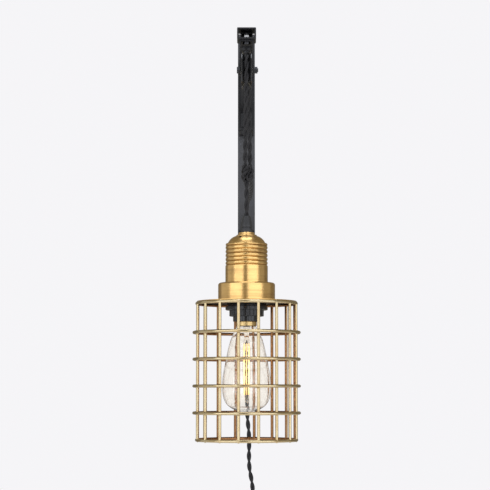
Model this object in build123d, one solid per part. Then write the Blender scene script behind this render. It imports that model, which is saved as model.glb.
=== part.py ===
from build123d import *
from math import acos, atan2, cos, hypot, pi, radians, sin, tan
import os

# Swing arm wall light: a rail on the wall, a hinged arm with a pulley, and a caged brass lamp on its cord.
# Millimetres. The wall is the plane Y = 0, the light stands out along -Y, +Z is up.
# The origin is midway between the two wall screws, on the wall.

# Wall rail
RAIL_WIDTH = 25.0
RAIL_LENGTH = 305.0
RAIL_THICK = 4.0
RAIL_CORNER = 2.0
WALL_SCREW_SPACING = 250.0
WALL_SCREW_HOLE_R = 2.6
COUNTERSINK_R = 5.2

# Hinge between rail and arm
HINGE_Y = -18.0
HINGE_LOW_Z = 0.0
HINGE_HIGH_Z = 112.0
LUG_THICK = 5.0
LUG_WIDTH = 20.0
LEAF_THICK = 3.0
LEAF_HEIGHT = 24.0
PIN_R = 3.0
RUNNING_GAP = 0.05
BARREL_R = 7.5
BARREL_END_GAP = 0.4
POST_PLATE_WIDTH = 22.0
POST_PLATE_THICK = 3.0
POST_CORNER = 4.0

# Arm
LAMP_Y = -250.0
ARM_WIDTH = 16.0
ARM_HEIGHT = 11.0
ARM_WALL = 1.5
ARM_LOW_Z = 89.0
BRACE_WIDTH = 16.0
BRACE_THICK = 4.0
END_BOX_WIDTH = 25.0
END_BOX_HEIGHT = 15.0
END_BOX_DEPTH = 30.0
END_BOX_WALL = 2.0
END_BOX_LOW_Z = 87.0

# Pulley and its yoke
AXLE_Z = 48.0
AXLE_R = 2.5
YOKE_WIDTH = 18.6
YOKE_PLATE = 1.5
YOKE_DEPTH = 16.0
YOKE_WEB = 2.0
WHEEL_R = 26.0
WHEEL_HALF_WIDTH = 6.85
GROOVE_HALF_WIDTH = 5.61
CORD_ON_WHEEL_R = 21.1
GROOVE_ROUND_R = 3.6

# Cord: two twisted strands in black cloth
CORD_R = 3.2
KNOT_TOP_Z = -78.0
KNOT_LOW_Z = -101.0
KNOT_R = 8.6
SWING_Z = -104.0
GRIP_TOP_Z = -145.5

# Brass lamp body, all on the lamp's own upright axis
COLLAR_TOP_Z = -167.3
DOME_TOP_Z = -171.8
RIDGE_R = 27.45
GROOVE_R = 26.1
SLEEVE_R = 27.6
FIRST_GROOVE_Z = -184.6
LAST_GROOVE_Z = -210.0
GROOVES = 6
CUP_TOP_Z = -233.2
CUP_LOW_Z = -257.0
CUP_R = 37.0
SHEET = 1.5

# Cage of round brass wire
WIRE_R = 2.0
BAR_CIRCLE_R = 64.6
BARS = 16
BAR_TURN = -9.1
RING_CIRCLE_R = 68.2
CAGE_TOP_Z = -260.0
CAGE_LOW_Z = -436.0
RING_PITCH = 34.6
RINGS = 4

# Bulb
BULB_R = 31.8
BULB_TIP_Z = -400.3
CAP_R = 13.1
CAP_TOP_Z = -262.0
CAP_LOW_Z = -289.0
GLASS_WALL = 0.9

# Coil of spare cord, hung flat against the wall
COIL_R = 34.0
COIL_BUNDLE_R = 10.4
COIL_X = 10.0
COIL_Y = -11.6
COIL_Z = -569.0

os.makedirs("parts", exist_ok=True)


def save(name, *solids):
    """Writes one node: a single solid, or a group of separate ones."""
    shape = solids[0] if len(solids) == 1 else Compound(children=list(solids))
    export_step(shape, f"parts/{name}.step")


def block(x, y, z):
    """A box between the given (low, high) pairs."""
    size = [high - low for low, high in (x, y, z)]
    middle = [(high + low) / 2 for low, high in (x, y, z)]
    return Pos(*middle) * Box(*size)


def rod(start, end, radius):
    """A round rod between two points."""
    start, end = Vector(*start), Vector(*end)
    plane = Plane(origin=start, z_dir=end - start)
    return extrude(plane * Circle(radius), (end - start).length)


def upright(x, y, low, high, radius):
    return rod((x, y, low), (x, y, high), radius)


def turned(edges, at=(0, LAMP_Y)):
    """A solid turned about an upright axis from a closed outline of (radius, height)."""
    face = make_face(Plane.XZ * edges)
    return Pos(at[0], at[1], 0) * revolve(face, Axis.Z)


def turned_points(points, at=(0, LAMP_Y)):
    return turned(Polyline(*points, close=True), at)


def hexagon(across_flats, low, high, bore, at):
    """An upright hexagon nut."""
    outline = RegularPolygon(across_flats / 2, 6, major_radius=False)
    body = extrude(Plane.XY.offset(low) * outline, high - low)
    hole = upright(0, 0, low - 1, high + 1, bore)
    return Pos(at[0], at[1], 0) * (body - hole)


def flat_head(x, z, radius, head_r, face_y):
    """The cone of a flat screw head, its wide end level with a plate's front face."""
    cone = Cone(radius, head_r, head_r - radius, align=(Align.CENTER, Align.CENTER, Align.MAX))
    return Pos(x, face_y, z) * Rot(90, 0, 0) * cone


def countersunk_hole(x, z, radius, head_r, face_y, back_y):
    """A hole through a plate against the wall, with its countersink in the front face."""
    drill = rod((x, face_y - 1, z), (x, back_y + 1, z), radius)
    return drill + flat_head(x, z, radius, head_r, face_y)


def countersunk_screw(x, z, radius, head_r, face_y, end_y):
    """A flat-headed screw with a cross slot, its head flush with the plate's front face."""
    shank = rod((x, face_y + 0.2, z), (x, end_y, z), radius)
    head = flat_head(x, z, radius, head_r, face_y)
    slot_deep = 0.8
    slot_half = 0.4
    slot_long = head_r * 0.62
    slot_y = (face_y - 1, face_y + slot_deep)
    slot = block((x - slot_long, x + slot_long), slot_y, (z - slot_half, z + slot_half))
    slot += block((x - slot_half, x + slot_half), slot_y, (z - slot_long, z + slot_long))
    return shank + head - slot


# ---------------------------------------------------------------- wall rail and hinge
RAIL_FACE_Y = -RAIL_THICK
LEAF_FACE_Y = RAIL_FACE_Y - LEAF_THICK
HALF_RAIL = RAIL_LENGTH / 2
LEAF_SCREW_R = 1.6
LEAF_SCREW_HEAD_R = 2.8
LEAF_SCREW_X = 6.0
LOW_LEAF = (HINGE_LOW_Z, HINGE_LOW_Z + LEAF_HEIGHT)
HIGH_LEAF = (HINGE_HIGH_Z - LEAF_HEIGHT, HINGE_HIGH_Z)
LEAF_SCREW_Z = (LOW_LEAF[1] - 7.0, HIGH_LEAF[0] + 7.0)
CLIP_Z = (-151.0, -139.5)
CLIP_SCREW_X = 8.0
CLIP_MIDDLE_Z = sum(CLIP_Z) / 2
SCREW_END_Y = -0.8

rail = block((-RAIL_WIDTH / 2, RAIL_WIDTH / 2), (RAIL_FACE_Y, 0), (-HALF_RAIL, HALF_RAIL))
rail = fillet(rail.edges().filter_by(Axis.Y), RAIL_CORNER)
for z in (-WALL_SCREW_SPACING / 2, WALL_SCREW_SPACING / 2):
    rail -= countersunk_hole(0, z, WALL_SCREW_HOLE_R, COUNTERSINK_R, RAIL_FACE_Y, 0)
for z in LEAF_SCREW_Z:
    for x in (-LEAF_SCREW_X, LEAF_SCREW_X):
        rail -= rod((x, RAIL_FACE_Y - 1, z), (x, SCREW_END_Y, z), LEAF_SCREW_R)
for x in (-CLIP_SCREW_X, CLIP_SCREW_X):
    rail -= rod((x, RAIL_FACE_Y - 1, CLIP_MIDDLE_Z), (x, SCREW_END_Y, CLIP_MIDDLE_Z), LEAF_SCREW_R)
save("wall_rail", rail)


def hinge_bracket(leaf, lug_low, screw_z):
    """A leaf screwed to the rail, with a lug that holds one end of the hinge pin."""
    half = LUG_WIDTH / 2
    body = block((-half, half), (LEAF_FACE_Y, RAIL_FACE_Y), leaf)
    lug = block((-half, half), (HINGE_Y, LEAF_FACE_Y), (lug_low, lug_low + LUG_THICK))
    lug += upright(0, HINGE_Y, lug_low, lug_low + LUG_THICK, half)
    body += lug
    body -= upright(0, HINGE_Y, lug_low - 1, lug_low + LUG_THICK + 1, PIN_R)
    for x in (-LEAF_SCREW_X, LEAF_SCREW_X):
        body -= countersunk_hole(x, screw_z, LEAF_SCREW_R, LEAF_SCREW_HEAD_R, LEAF_FACE_Y, RAIL_FACE_Y)
    return body


save("hinge_bracket_lower", hinge_bracket(LOW_LEAF, HINGE_LOW_Z, LEAF_SCREW_Z[0]))
save("hinge_bracket_upper", hinge_bracket(HIGH_LEAF, HINGE_HIGH_Z - LUG_THICK, LEAF_SCREW_Z[1]))
screw_places = [(x, z) for z in LEAF_SCREW_Z for x in (-LEAF_SCREW_X, LEAF_SCREW_X)]
screw_places += [(x, CLIP_MIDDLE_Z) for x in (-CLIP_SCREW_X, CLIP_SCREW_X)]
rail_screws = []
for x, z in screw_places:
    screw = countersunk_screw(x, z, LEAF_SCREW_R, LEAF_SCREW_HEAD_R, LEAF_FACE_Y, SCREW_END_Y)
    rail_screws.append(screw)
save("rail_screws", *rail_screws)

PIN_HEAD_R = 4.6
PIN_HEAD_HIGH = 2.4
pin = upright(0, HINGE_Y, HINGE_LOW_Z - 1.0, HINGE_HIGH_Z, PIN_R)
pin_head = upright(0, HINGE_Y, HINGE_HIGH_Z, HINGE_HIGH_Z + PIN_HEAD_HIGH, PIN_HEAD_R)
PIN_HEAD_ROUND = 1.6
pin_head = fillet(pin_head.edges().group_by(Axis.Z)[-1], PIN_HEAD_ROUND)
save("hinge_pin", pin + pin_head)

# Cord clip at the foot of the rail: a base plate and an upright eye on the hinge's own axis
CLIP_EYE_R = 6.6
CLIP_BORE_R = 3.7
CLIP_BASE_HALF = 11.0
CLIP_NECK_HALF = 4.5
clip = block((-CLIP_BASE_HALF, CLIP_BASE_HALF), (LEAF_FACE_Y, RAIL_FACE_Y), CLIP_Z)
clip += block((-CLIP_NECK_HALF, CLIP_NECK_HALF), (HINGE_Y, RAIL_FACE_Y), CLIP_Z)
clip += upright(0, HINGE_Y, *CLIP_Z, CLIP_EYE_R)
clip -= upright(0, HINGE_Y, CLIP_Z[0] - 1, CLIP_Z[1] + 1, CLIP_BORE_R)
for x in (-CLIP_SCREW_X, CLIP_SCREW_X):
    clip -= countersunk_hole(x, CLIP_MIDDLE_Z, LEAF_SCREW_R, LEAF_SCREW_HEAD_R, LEAF_FACE_Y, RAIL_FACE_Y)
save("rail_cord_clip", clip)

# ---------------------------------------------------------------- swing arm
POST_BACK_Y = HINGE_Y - BARREL_R + 0.5
POST_FACE_Y = POST_BACK_Y - POST_PLATE_THICK
POST_LOW_Z = HINGE_LOW_Z + LUG_THICK + BARREL_END_GAP
POST_HIGH_Z = HINGE_HIGH_Z - LUG_THICK - BARREL_END_GAP
BUSH_LONG = 12.0
BUSH_R = 4.5

barrel = upright(0, HINGE_Y, POST_LOW_Z, POST_HIGH_Z, BARREL_R)
barrel -= upright(0, HINGE_Y, POST_LOW_Z - 1, POST_HIGH_Z + 1, BUSH_R)
save("hinge_barrel", barrel)
bushes = []
for low in (POST_LOW_Z, POST_HIGH_Z - BUSH_LONG):
    bush = upright(0, HINGE_Y, low, low + BUSH_LONG, BUSH_R)
    bush -= upright(0, HINGE_Y, low - 1, low + BUSH_LONG + 1, PIN_R + RUNNING_GAP)
    bushes.append(bush)
save("hinge_bushes", *bushes)

half_post = POST_PLATE_WIDTH / 2
post = block((-half_post, half_post), (POST_FACE_Y, POST_BACK_Y), (POST_LOW_Z, POST_HIGH_Z))
post = fillet(post.edges().filter_by(Axis.Y), POST_CORNER)
save("post_plate", post)

END_BOX_Y = (LAMP_Y - END_BOX_DEPTH / 2, LAMP_Y + END_BOX_DEPTH / 2)
END_BOX_Z = (END_BOX_LOW_Z, END_BOX_LOW_Z + END_BOX_HEIGHT)
ARM_Z = (ARM_LOW_Z, ARM_LOW_Z + ARM_HEIGHT)
ARM_IN_BOX = 8.0
ARM_Y = (END_BOX_Y[1] - ARM_IN_BOX, POST_FACE_Y)
arm = block((-ARM_WIDTH / 2, ARM_WIDTH / 2), ARM_Y, ARM_Z)
arm -= block(
    (-ARM_WIDTH / 2 + ARM_WALL, ARM_WIDTH / 2 - ARM_WALL),
    (ARM_Y[0] - 1, ARM_Y[1] + 1),
    (ARM_Z[0] + ARM_WALL, ARM_Z[1] - ARM_WALL),
)
save("arm_tube", arm)

half_box = END_BOX_WIDTH / 2
end_box = block((-half_box, half_box), END_BOX_Y, END_BOX_Z)
end_box = fillet(end_box.edges().filter_by(Axis.Y), 1.2)
end_box -= block(
    (-half_box + END_BOX_WALL, half_box - END_BOX_WALL),
    (END_BOX_Y[0] - 1, END_BOX_Y[1] + 1),
    (END_BOX_Z[0] + END_BOX_WALL, END_BOX_Z[1] - END_BOX_WALL),
)
YOKE_BOLT_R = 3.0
end_box -= upright(0, LAMP_Y, END_BOX_LOW_Z - 1, END_BOX_LOW_Z + END_BOX_WALL + 1, YOKE_BOLT_R)
save("arm_end_box", end_box)

# Brace: a flat bar from the foot of the post up to the underside of the arm, cranked flat at both ends
BRACE_FOOT_Z = (POST_LOW_Z + 4.0, POST_LOW_Z + 26.0)
BRACE_TAB_Y = (-206.0, -180.0)
BRACE_BOLT_R = 2.5
BRACE_BOLT_Y = -195.0
BRACE_BOLT_Z = POST_LOW_Z + 13.0
half_brace = BRACE_WIDTH / 2
brace_line = Polyline(
    (BRACE_TAB_Y[0], ARM_LOW_Z),
    (BRACE_TAB_Y[0], ARM_LOW_Z - BRACE_THICK),
    (BRACE_TAB_Y[1] - 1.5, ARM_LOW_Z - BRACE_THICK),
    (POST_FACE_Y - BRACE_THICK, BRACE_FOOT_Z[1] - 1.5),
    (POST_FACE_Y - BRACE_THICK, BRACE_FOOT_Z[0]),
    (POST_FACE_Y, BRACE_FOOT_Z[0]),
    (POST_FACE_Y, BRACE_FOOT_Z[1]),
    (BRACE_TAB_Y[1], ARM_LOW_Z),
    close=True,
)
brace = Pos(-half_brace, 0, 0) * extrude(make_face(Plane.YZ * brace_line), BRACE_WIDTH)
tab_corners = brace.edges().filter_by(Axis.Z).group_by(Axis.Y)[0]
brace = fillet(tab_corners, half_brace - 0.6)
brace -= upright(0, BRACE_BOLT_Y, ARM_LOW_Z - BRACE_THICK - 1, ARM_LOW_Z + 1, BRACE_BOLT_R)
foot_y = POST_FACE_Y - BRACE_THICK
brace -= rod((0, foot_y - 1, BRACE_BOLT_Z), (0, POST_FACE_Y + 1, BRACE_BOLT_Z), BRACE_BOLT_R)
save("arm_brace", brace)

BOLT_HEAD_R = 4.4
BOLT_HEAD_HIGH = 2.6
BOLT_HEAD_ROUND = 1.8
KEY_R = 1.5
KEY_DEEP = 1.6
under_bolt = upright(0, BRACE_BOLT_Y, ARM_LOW_Z - BRACE_THICK, ARM_LOW_Z, BRACE_BOLT_R)
under_head_z = ARM_LOW_Z - BRACE_THICK
under_head = upright(0, BRACE_BOLT_Y, under_head_z - BOLT_HEAD_HIGH, under_head_z, BOLT_HEAD_R)
under_head = fillet(under_head.edges().group_by(Axis.Z)[0], BOLT_HEAD_ROUND)
under_key = extrude(RegularPolygon(KEY_R, 6), KEY_DEEP)
under_socket = Pos(0, BRACE_BOLT_Y, under_head_z - BOLT_HEAD_HIGH) * under_key
foot_bolt = rod((0, foot_y, BRACE_BOLT_Z), (0, POST_FACE_Y, BRACE_BOLT_Z), BRACE_BOLT_R)
foot_head = rod((0, foot_y - BOLT_HEAD_HIGH, BRACE_BOLT_Z), (0, foot_y, BRACE_BOLT_Z), BOLT_HEAD_R)
foot_head = fillet(foot_head.edges().group_by(Axis.Y)[0], BOLT_HEAD_ROUND)
foot_key = Rot(90, 0, 0) * extrude(RegularPolygon(KEY_R, 6), KEY_DEEP)
foot_socket = Pos(0, foot_y - BOLT_HEAD_HIGH + KEY_DEEP, BRACE_BOLT_Z) * foot_key
save("brace_bolts", under_bolt + under_head - under_socket, foot_bolt + foot_head - foot_socket)

# ---------------------------------------------------------------- yoke and pulley
YOKE_TOP_Z = END_BOX_LOW_Z
half_yoke = YOKE_WIDTH / 2
inner_yoke = half_yoke - YOKE_PLATE
YOKE_Y = (LAMP_Y - YOKE_DEPTH / 2, LAMP_Y + YOKE_DEPTH / 2)
yoke = block((-half_yoke, half_yoke), YOKE_Y, (AXLE_Z, YOKE_TOP_Z))
yoke += rod((-half_yoke, LAMP_Y, AXLE_Z), (half_yoke, LAMP_Y, AXLE_Z), YOKE_DEPTH / 2)
yoke = fillet(yoke.edges().filter_by(Axis.Y).group_by(Axis.Z)[-1], 1.4)
yoke -= block((-inner_yoke, inner_yoke), (YOKE_Y[0] - 9, YOKE_Y[1] + 9), (0, YOKE_TOP_Z - YOKE_WEB))
yoke -= rod((-20, LAMP_Y, AXLE_Z), (20, LAMP_Y, AXLE_Z), AXLE_R)
yoke -= upright(0, LAMP_Y, YOKE_TOP_Z - 4, YOKE_TOP_Z + 1, YOKE_BOLT_R)
save("pulley_yoke", yoke)

NUT_HIGH = 5.0
web_low_z = YOKE_TOP_Z - YOKE_WEB
box_floor_z = END_BOX_LOW_Z + END_BOX_WALL
YOKE_HEAD_HIGH = 3.2
YOKE_HEAD_R = 5.2
BOLT_PAST_NUT = 2.5
yoke_bolt = upright(0, LAMP_Y, web_low_z, box_floor_z + NUT_HIGH + BOLT_PAST_NUT, YOKE_BOLT_R)
yoke_bolt += upright(0, LAMP_Y, web_low_z - YOKE_HEAD_HIGH, web_low_z, YOKE_HEAD_R)
save("yoke_bolt", yoke_bolt)
YOKE_NUT_FLATS = 10.0
yoke_nut = hexagon(YOKE_NUT_FLATS, box_floor_z, box_floor_z + NUT_HIGH, YOKE_BOLT_R, (0, LAMP_Y))
save("yoke_nut", yoke_nut)


def crosswise_hexagon(across_flats, low_x, high_x, bore):
    """A hexagon on the pulley's axle."""
    outline = RegularPolygon(across_flats / 2, 6, major_radius=False)
    body = extrude(Plane.YZ.offset(low_x) * outline, high_x - low_x)
    body = Pos(0, LAMP_Y, AXLE_Z) * body
    if bore:
        body -= rod((low_x - 1, LAMP_Y, AXLE_Z), (high_x + 1, LAMP_Y, AXLE_Z), bore)
    return body


WASHER = 0.8
SPACER = 0.5
AXLE_FLATS = 8.0
AXLE_HEAD = 3.5
AXLE_NUT = 4.2
nut_x = half_yoke + WASHER
axle = rod((-half_yoke - 0.1, LAMP_Y, AXLE_Z), (nut_x + AXLE_NUT + 1.0, LAMP_Y, AXLE_Z), AXLE_R)
axle += crosswise_hexagon(AXLE_FLATS, -half_yoke - AXLE_HEAD, -half_yoke, 0)
save("pulley_axle_bolt", axle)
save("axle_nut", crosswise_hexagon(AXLE_FLATS, nut_x, nut_x + AXLE_NUT, AXLE_R))


def axle_ring(low_x, high_x, outer, inner):
    body = rod((low_x, LAMP_Y, AXLE_Z), (high_x, LAMP_Y, AXLE_Z), outer)
    return body - rod((low_x - 1, LAMP_Y, AXLE_Z), (high_x + 1, LAMP_Y, AXLE_Z), inner)


WASHER_R = 5.0
SPACER_R = 6.0
save("axle_washer", axle_ring(half_yoke, half_yoke + WASHER, WASHER_R, AXLE_R))
save(
    "axle_spacers",
    axle_ring(inner_yoke - SPACER, inner_yoke, SPACER_R, AXLE_R),
    axle_ring(-inner_yoke, -inner_yoke + SPACER, SPACER_R, AXLE_R),
)

# Wheel section as (distance from the axle, place along it): hub, thin web, and a rim with a rounded V groove
HUB_R = 8.0
WEB_HALF = 2.4
RIM_R = 14.6
BUSH_OUTER = 3.5
FLANK = radians(20)
touch_r = CORD_ON_WHEEL_R - GROOVE_ROUND_R * sin(FLANK)
touch_x = GROOVE_ROUND_R * cos(FLANK)
side = [
    (WHEEL_R, -GROOVE_HALF_WIDTH),
    (WHEEL_R, -WHEEL_HALF_WIDTH),
    (RIM_R + 1.4, -WHEEL_HALF_WIDTH),
    (RIM_R, -WEB_HALF),
    (HUB_R, -WEB_HALF),
    (HUB_R, -WHEEL_HALF_WIDTH),
    (BUSH_OUTER, -WHEEL_HALF_WIDTH),
]
wheel_line = Polyline((touch_r, -touch_x), *side)
wheel_line += Line((BUSH_OUTER, -WHEEL_HALF_WIDTH), (BUSH_OUTER, WHEEL_HALF_WIDTH))
wheel_line += Polyline(*[(r, -x) for r, x in reversed(side)], (touch_r, touch_x))
groove_floor = CORD_ON_WHEEL_R - GROOVE_ROUND_R
wheel_line += ThreePointArc((touch_r, touch_x), (groove_floor, 0), (touch_r, -touch_x))
wheel = revolve(make_face(Plane.XZ * wheel_line), Axis.Z)
LIGHTENING_HOLES = 5
LIGHTENING_R = 2.0
LIGHTENING_CIRCLE_R = (HUB_R + RIM_R) / 2
for k in range(LIGHTENING_HOLES):
    turn = 2 * pi * k / LIGHTENING_HOLES
    x = LIGHTENING_CIRCLE_R * cos(turn)
    y = LIGHTENING_CIRCLE_R * sin(turn)
    wheel -= upright(x, y, -WEB_HALF - 1, WEB_HALF + 1, LIGHTENING_R)
TO_AXLE = Pos(0, LAMP_Y, AXLE_Z) * Rot(0, 90, 0)
save("pulley_wheel", TO_AXLE * wheel)
save("pulley_bush", axle_ring(-WHEEL_HALF_WIDTH, WHEEL_HALF_WIDTH, BUSH_OUTER, AXLE_R + RUNNING_GAP))

# ---------------------------------------------------------------- cord
LIMP_BEND = 6 * CORD_R


def cord_path(name, points):
    """Straight runs joined by tangent arcs, each as large as its two runs allow."""
    spots = [Vector(*p) for p in points]
    runs = [b - a for a, b in zip(spots, spots[1:])]
    bends = []
    for before, after in zip(runs, runs[1:]):
        turn = radians(before.get_angle(after))
        bends.append(0.45 * min(before.length, after.length) / tan(turn / 2))
    print(name, "runs", [round(r.length) for r in runs], "bend radii", [round(b) for b in bends])
    if min(bends) < LIMP_BEND:
        print(name, "has a bend under three cord diameters")
    return FilletPolyline(*spots, radius=bends)


def swept(name, path, radius=CORD_R):
    """A round tube along a path, with its volume compared to section times length."""
    tube = sweep(Plane(origin=path @ 0, z_dir=path % 0) * Circle(radius), path=path)
    ratio = tube.volume / (pi * radius**2 * path.length)
    print(name, "length", round(path.length), "volume over section times length", round(ratio, 4))
    return tube


# The loop over the pulley: both strands rise from the knot, and the cord lies in the wheel's groove
STRAND_SPREAD = 3.4
LOOP_FOOT_Z = KNOT_TOP_Z - 5.0
foot_drop = AXLE_Z - LOOP_FOOT_Z
foot_far = hypot(STRAND_SPREAD, foot_drop)
touch_angle = atan2(-foot_drop, -STRAND_SPREAD) - acos(CORD_ON_WHEEL_R / foot_far)
touch_out = CORD_ON_WHEEL_R * cos(touch_angle)
touch_up = CORD_ON_WHEEL_R * sin(touch_angle)
front_foot = (0, LAMP_Y - STRAND_SPREAD, LOOP_FOOT_Z)
rear_foot = (0, LAMP_Y + STRAND_SPREAD, LOOP_FOOT_Z)
front_touch = (0, LAMP_Y + touch_out, AXLE_Z + touch_up)
rear_touch = (0, LAMP_Y - touch_out, AXLE_Z + touch_up)
loop_path = Line(front_foot, front_touch)
loop_path += ThreePointArc(front_touch, (0, LAMP_Y, AXLE_Z + CORD_ON_WHEEL_R), rear_touch)
loop_path += Line(rear_touch, rear_foot)
save("pulley_cord_loop", swept("pulley_cord_loop", loop_path))

knot_middle_z = (KNOT_TOP_Z + KNOT_LOW_Z) / 2
KNOT_END_R = 4.2
KNOT_SHOULDER_R = 6.6
knot_line = Polyline((0, KNOT_LOW_Z), (0, KNOT_TOP_Z), (KNOT_SHOULDER_R, KNOT_TOP_Z))
knot_line += ThreePointArc((KNOT_SHOULDER_R, KNOT_TOP_Z), (KNOT_R, knot_middle_z), (KNOT_END_R, KNOT_LOW_Z))
knot_line += Line((KNOT_END_R, KNOT_LOW_Z), (0, KNOT_LOW_Z))
save("cord_knot", turned(knot_line))

# The tail from the knot back to the clip, where it turns down onto the hinge's axis
CLIP_JOIN_Z = -145.0
TAIL = [
    (0, -243, -86),
    (0, -196, -94.5),
    (0, -148, -101),
    (0, -100, -104.6),
    (0, -58, -106),
    (0, -37, -108),
    (0, HINGE_Y, -126),
    (0, HINGE_Y, CLIP_JOIN_Z),
]
save("tail_cord", swept("tail_cord", cord_path("tail_cord", TAIL)))
save("lamp_cord", upright(0, LAMP_Y, GRIP_TOP_Z + 0.2, SWING_Z, CORD_R))

# From the clip down the wall behind the lamp, and into the coil of spare cord
ENTRY = radians(50)
entry_run = COIL_R * cos(ENTRY) / sin(ENTRY)
coil_corner = (COIL_X, COIL_Y + 1.4, COIL_Z + COIL_R * sin(ENTRY) + entry_run * cos(ENTRY))
coil_entry = (COIL_X + COIL_R * cos(ENTRY), COIL_Y, COIL_Z + COIL_R * sin(ENTRY))
WALL_CORD = [
    (0, HINGE_Y, CLIP_JOIN_Z),
    (0, HINGE_Y, -172),
    (0.3, -13, -212),
    (0.4, -6.6, -262),
    (0.2, -4.3, -318),
    (0.8, -4.0, -368),
    (0.9, -4.0, -409),
    (4.2, -4.0, -438),
    (3.6, -4.4, -462),
    (3.9, -4.2, -484),
    (8.0, -5.4, -503),
    coil_corner,
    coil_entry,
]
save("wall_cord", swept("wall_cord", cord_path("wall_cord", WALL_CORD)))

coil = Pos(COIL_X, COIL_Y, COIL_Z) * Rot(90, 0, 0) * Torus(COIL_R, COIL_BUNDLE_R)
save("cord_coil", coil)

TIE_HALF = 4.5
TIE_WALL = 1.0
tie_x = COIL_X - COIL_R
tie = upright(tie_x, COIL_Y, COIL_Z - TIE_HALF, COIL_Z + TIE_HALF, COIL_BUNDLE_R + TIE_WALL)
tie -= upright(tie_x, COIL_Y, COIL_Z - TIE_HALF - 1, COIL_Z + TIE_HALF + 1, COIL_BUNDLE_R)
save("coil_tie", tie)

# The end of the cord leaves the coil and hangs straight down into the plug
EXIT = radians(-55)
LEAVE_R = COIL_R + 4.0
EXIT_FROM_PLUG = 23.5
leave = (COIL_X + LEAVE_R * cos(EXIT), COIL_Y - 1.0, COIL_Z + LEAVE_R * sin(EXIT))
LEAVE_RUN = 25.0
leave_turn = (leave[0] + LEAVE_RUN * sin(EXIT), COIL_Y - 1.0, leave[2] - LEAVE_RUN * cos(EXIT))
PLUG_TOP_Z = leave_turn[2] - EXIT_FROM_PLUG
PLUG_X = leave_turn[0]
PLUG_Y = leave_turn[1]
END_CORD = [leave, leave_turn, (PLUG_X, PLUG_Y, PLUG_TOP_Z)]
save("end_cord", swept("end_cord", cord_path("end_cord", END_CORD)))

RELIEF_LONG = 22.0
BODY_LONG = 30.0
BODY_HALF_WIDTH = 12.0
BODY_HALF_THICK = 7.5
relief_low_z = PLUG_TOP_Z - RELIEF_LONG
RELIEF = [(0, PLUG_TOP_Z), (3.9, PLUG_TOP_Z), (6.4, relief_low_z), (0, relief_low_z)]
save("plug_strain_relief", turned_points(RELIEF, (PLUG_X, PLUG_Y)))
plug_low_z = relief_low_z - BODY_LONG
plug = block(
    (PLUG_X - BODY_HALF_WIDTH, PLUG_X + BODY_HALF_WIDTH),
    (PLUG_Y - BODY_HALF_THICK, PLUG_Y + BODY_HALF_THICK),
    (plug_low_z, relief_low_z),
)
plug = fillet(plug.edges().filter_by(Axis.Z), 4.0)
plug = fillet(plug.edges().group_by(Axis.Z)[-1], 2.5)
BLADE_X = 6.35
BLADE_LONG = 17.0
BLADE_IN = 6.0
BLADE_THICK = 1.5
BLADE_WIDTH = 6.3
blades = []
for x in (PLUG_X - BLADE_X, PLUG_X + BLADE_X):
    blade = block(
        (x - BLADE_THICK / 2, x + BLADE_THICK / 2),
        (PLUG_Y - BLADE_WIDTH / 2, PLUG_Y + BLADE_WIDTH / 2),
        (plug_low_z - BLADE_LONG, plug_low_z + BLADE_IN),
    )
    blades.append(blade)
    plug -= blade
save("plug_body", plug)
save("plug_blades", *blades)

# ---------------------------------------------------------------- lamp body
GRIP_SHOULDER_Z = -157.5
NIPPLE_R = 4.95
THREAD_BORE_R = 5.0
grip = turned_points(
    [
        (CORD_R + 0.4, GRIP_TOP_Z),
        (4.85, GRIP_TOP_Z),
        (7.3, GRIP_SHOULDER_Z),
        (7.3, -160.2),
        (6.6, -160.8),
        (6.6, -161.6),
        (7.5, -162.2),
        (7.5, COLLAR_TOP_Z),
        (THREAD_BORE_R, COLLAR_TOP_Z),
        (THREAD_BORE_R, -159.0),
        (CORD_R + 0.4, -159.0),
    ]
)
save("cord_grip", grip)

COLLAR_R = 10.75
FLANGE_R = 13.45
collar_line = Polyline(
    (THREAD_BORE_R, DOME_TOP_Z),
    (THREAD_BORE_R, COLLAR_TOP_Z),
    (COLLAR_R - 0.8, COLLAR_TOP_Z),
    (COLLAR_R, -168.1),
    (COLLAR_R, -169.2),
)
collar_line += ThreePointArc((COLLAR_R, -169.2), (11.5, -170.1), (12.9, -170.5))
collar_line += Polyline(
    (12.9, -170.5),
    (FLANGE_R, -171.0),
    (FLANGE_R, DOME_TOP_Z),
    (THREAD_BORE_R, DOME_TOP_Z),
)
save("brass_collar", turned(collar_line))

# Socket shell: a dome, six rounded ridges and a plain sleeve, turned from one piece
DOME_LOW = (24.6, -181.6)
FIRST_PEAK = (27.3, -183.3)
SLEEVE_TOP_Z = -211.7
INNER_R = SLEEVE_R - SHEET - 1.2
shell_line = Line((THREAD_BORE_R, DOME_TOP_Z), (13.2, DOME_TOP_Z))
shell_line += ThreePointArc((13.2, DOME_TOP_Z), (20.4, -175.4), DOME_LOW)
shell_line += ThreePointArc(DOME_LOW, (26.9, -182.1), FIRST_PEAK)
shell_line += ThreePointArc(FIRST_PEAK, (27.0, -184.2), (GROOVE_R, FIRST_GROOVE_Z))
pitch = (FIRST_GROOVE_Z - LAST_GROOVE_Z) / (GROOVES - 1)
for k in range(GROOVES - 1):
    top = FIRST_GROOVE_Z - k * pitch
    shell_line += ThreePointArc((GROOVE_R, top), (RIDGE_R, top - pitch / 2), (GROOVE_R, top - pitch))
shell_line += ThreePointArc((GROOVE_R, LAST_GROOVE_Z), (SLEEVE_R - 0.3, -210.6), (SLEEVE_R, SLEEVE_TOP_Z))
INNER_SHOULDER = (INNER_R, -187.0)
DOME_UNDER_Z = DOME_TOP_Z - SHEET
inner_top = (11.0, DOME_UNDER_Z)
shell_line += Polyline((SLEEVE_R, SLEEVE_TOP_Z), (SLEEVE_R, CUP_TOP_Z), (INNER_R, CUP_TOP_Z), INNER_SHOULDER)
shell_line += ThreePointArc(INNER_SHOULDER, (20.0, -178.2), inner_top)
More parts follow.
